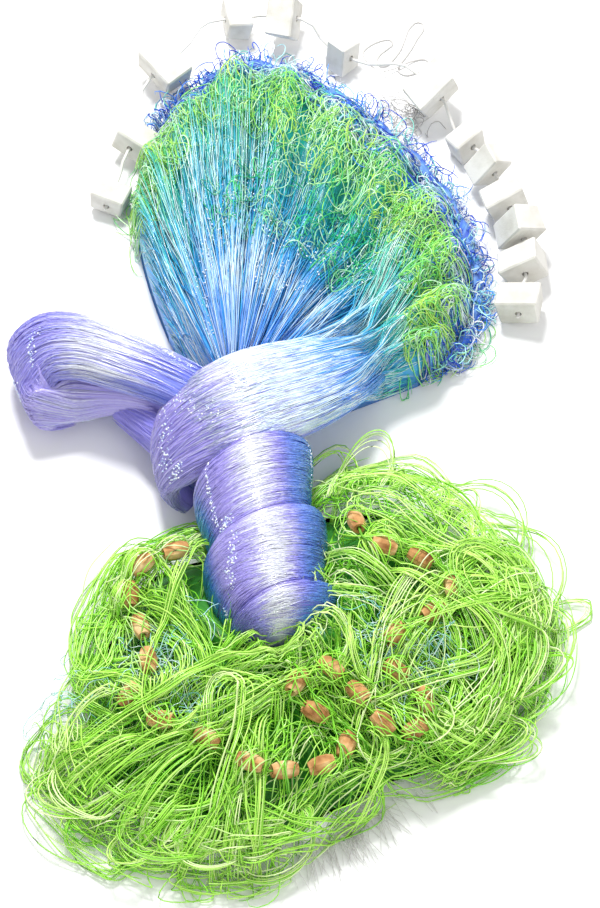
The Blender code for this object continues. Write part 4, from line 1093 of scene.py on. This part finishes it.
def builtMaterial(name, colours, stops, relief, strength, distance, **shaderValues):
    # one texture's value coloured along stops, and the relief of another, or of the same one; scales are per metre
    material, tree, shader = startMaterial(name, **shaderValues)
    place = addNode(tree, "ShaderNodeTexCoord").outputs["Object"]
    kind, settings = colours
    value = addNode(tree, kind, {"Vector": place, **settings}).outputs["Fac"]
    ramp = addNode(tree, "ShaderNodeValToRGB", {"Fac": value})
    setRamp(ramp, stops)
    if relief:
        kind, settings, reading = relief
        value = addNode(tree, kind, {"Vector": place, **settings}).outputs[reading]
    bump = addNode(tree, "ShaderNodeBump", {"Height": value, "Strength": strength, "Distance": distance})
    tree.links.new(ramp.outputs["Color"], shader.inputs["Base Color"])
    tree.links.new(bump.outputs["Normal"], shader.inputs["Normal"])
    return material


# foam block cut with a knife: closed cells 1.1 mm across, matt, a little stained
foam = builtMaterial(
    "knifeCutFoam", ("ShaderNodeTexNoise", {"Scale": 60.0, "Detail": 5.0}), ((0.30, "#c8c5bc"), (0.60, "#dedcd6")),
    ("ShaderNodeTexVoronoi", {"Scale": 900.0}, "Distance"), 0.25, 0.0004, Roughness=0.85, IOR=1.45)
# unglazed fired clay: grit 0.7 mm across, with darker firing marks
clay = builtMaterial(
    "unglazedFiredClay", ("ShaderNodeTexNoise", {"Scale": 90.0, "Detail": 6.0}),
    ((0.32, "#96602f"), (0.50, "#c8955c"), (0.66, "#ecca96")),
    ("ShaderNodeTexNoise", {"Scale": 1400.0, "Detail": 3.0}, "Fac"), 0.4, 0.0003, Roughness=0.8, IOR=1.5)


def lineMaterial(name, light, dark):
    # laid cord: its twist shows as slanting ridges, less than a millimetre apart, with painted shade in the grooves
    # between them
    twist = ("ShaderNodeTexWave", {"Scale": 400.0, "Distortion": 2.0})
    return builtMaterial(name, twist, ((0.0, dark), (1.0, light)), None, 0.5, 0.0003, Roughness=0.6, IOR=1.5)


headlineMaterial = lineMaterial("laidWhiteCord", "#f2f1ee", "#c8c5be")
leadlineMaterial = lineMaterial("laidGreenCord", "#8fd83c", "#3c8018")


def dress(node, material):
    # a built node takes one material
    node.data.materials.clear()
    node.data.materials.append(material)


for nodeName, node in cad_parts.items():
    if nodeName.startswith("float_"):
        dress(node, foam)
    elif nodeName.startswith("sinker_"):
        dress(node, clay)
dress(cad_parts["headline"], headlineMaterial)
dress(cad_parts["leadline"], leadlineMaterial)

print("stage: floor, light and camera")
studio = {"floor": 3.0, "world": 0.66}
floorMesh = bpy.data.meshes.new("studio_floor")
floorCorners = [(x * studio["floor"], y * studio["floor"], 0) for x, y in ((-1, -1), (1, -1), (1, 1), (-1, 1))]
floorMesh.from_pydata(floorCorners, [], [(0, 1, 2, 3)])
floor = bpy.data.objects.new("studio_floor", floorMesh)
bpy.context.scene.collection.objects.link(floor)
floorMaterial, tree, shader = startMaterial("paleMattBoard", Roughness=0.9)
shader.inputs["Base Color"].default_value = linearColour("#f7f7f7")
floorMesh.materials.append(floorMaterial)

world = bpy.data.worlds.new("studio")
bpy.context.scene.world = world
world.use_nodes = True
background = world.node_tree.nodes["Background"]
background.inputs["Color"].default_value = (1.0, 1.0, 1.0, 1.0)
background.inputs["Strength"].default_value = studio["world"]


def softLight(name, place, towards, size, power):
    # a round soft lamp, in metres and watts
    data = bpy.data.lights.new(name, "AREA")
    data.shape = "DISK"
    data.size = size
    data.energy = power
    light = bpy.data.objects.new(name, data)
    bpy.context.scene.collection.objects.link(light)
    light.location = place
    light.rotation_euler = (Vector(towards) - Vector(place)).to_track_quat("-Z", "Y").to_euler()


softLight("keyLight", (-0.20, 0.75, 1.45), (0.0, -0.03, 0.0), 0.40, 30.0)
softLight("fillLight", (0.6, -1.0, 1.3), (0.0, 0.0, 0.0), 1.0, 6.0)

view = {"target": Vector((0.016, -0.0575, 0.030)), "elevation": np.radians(58.0), "distance": 1.8, "lens": 101.95}
camera = bpy.data.cameras.new("studioCamera")
camera.sensor_fit = "VERTICAL"
camera.sensor_height = 36.0
camera.lens = view["lens"]
cameraObject = bpy.data.objects.new("studioCamera", camera)
bpy.context.scene.collection.objects.link(cameraObject)
back = Vector((0.0, -np.cos(view["elevation"]), np.sin(view["elevation"])))
cameraObject.location = view["target"] + back * view["distance"]
cameraObject.rotation_euler = (-back).to_track_quat("-Z", "Y").to_euler()
bpy.context.scene.camera = cameraObject
bpy.context.scene.view_settings.view_transform = "Standard"
bpy.context.scene.cycles.use_denoising = True
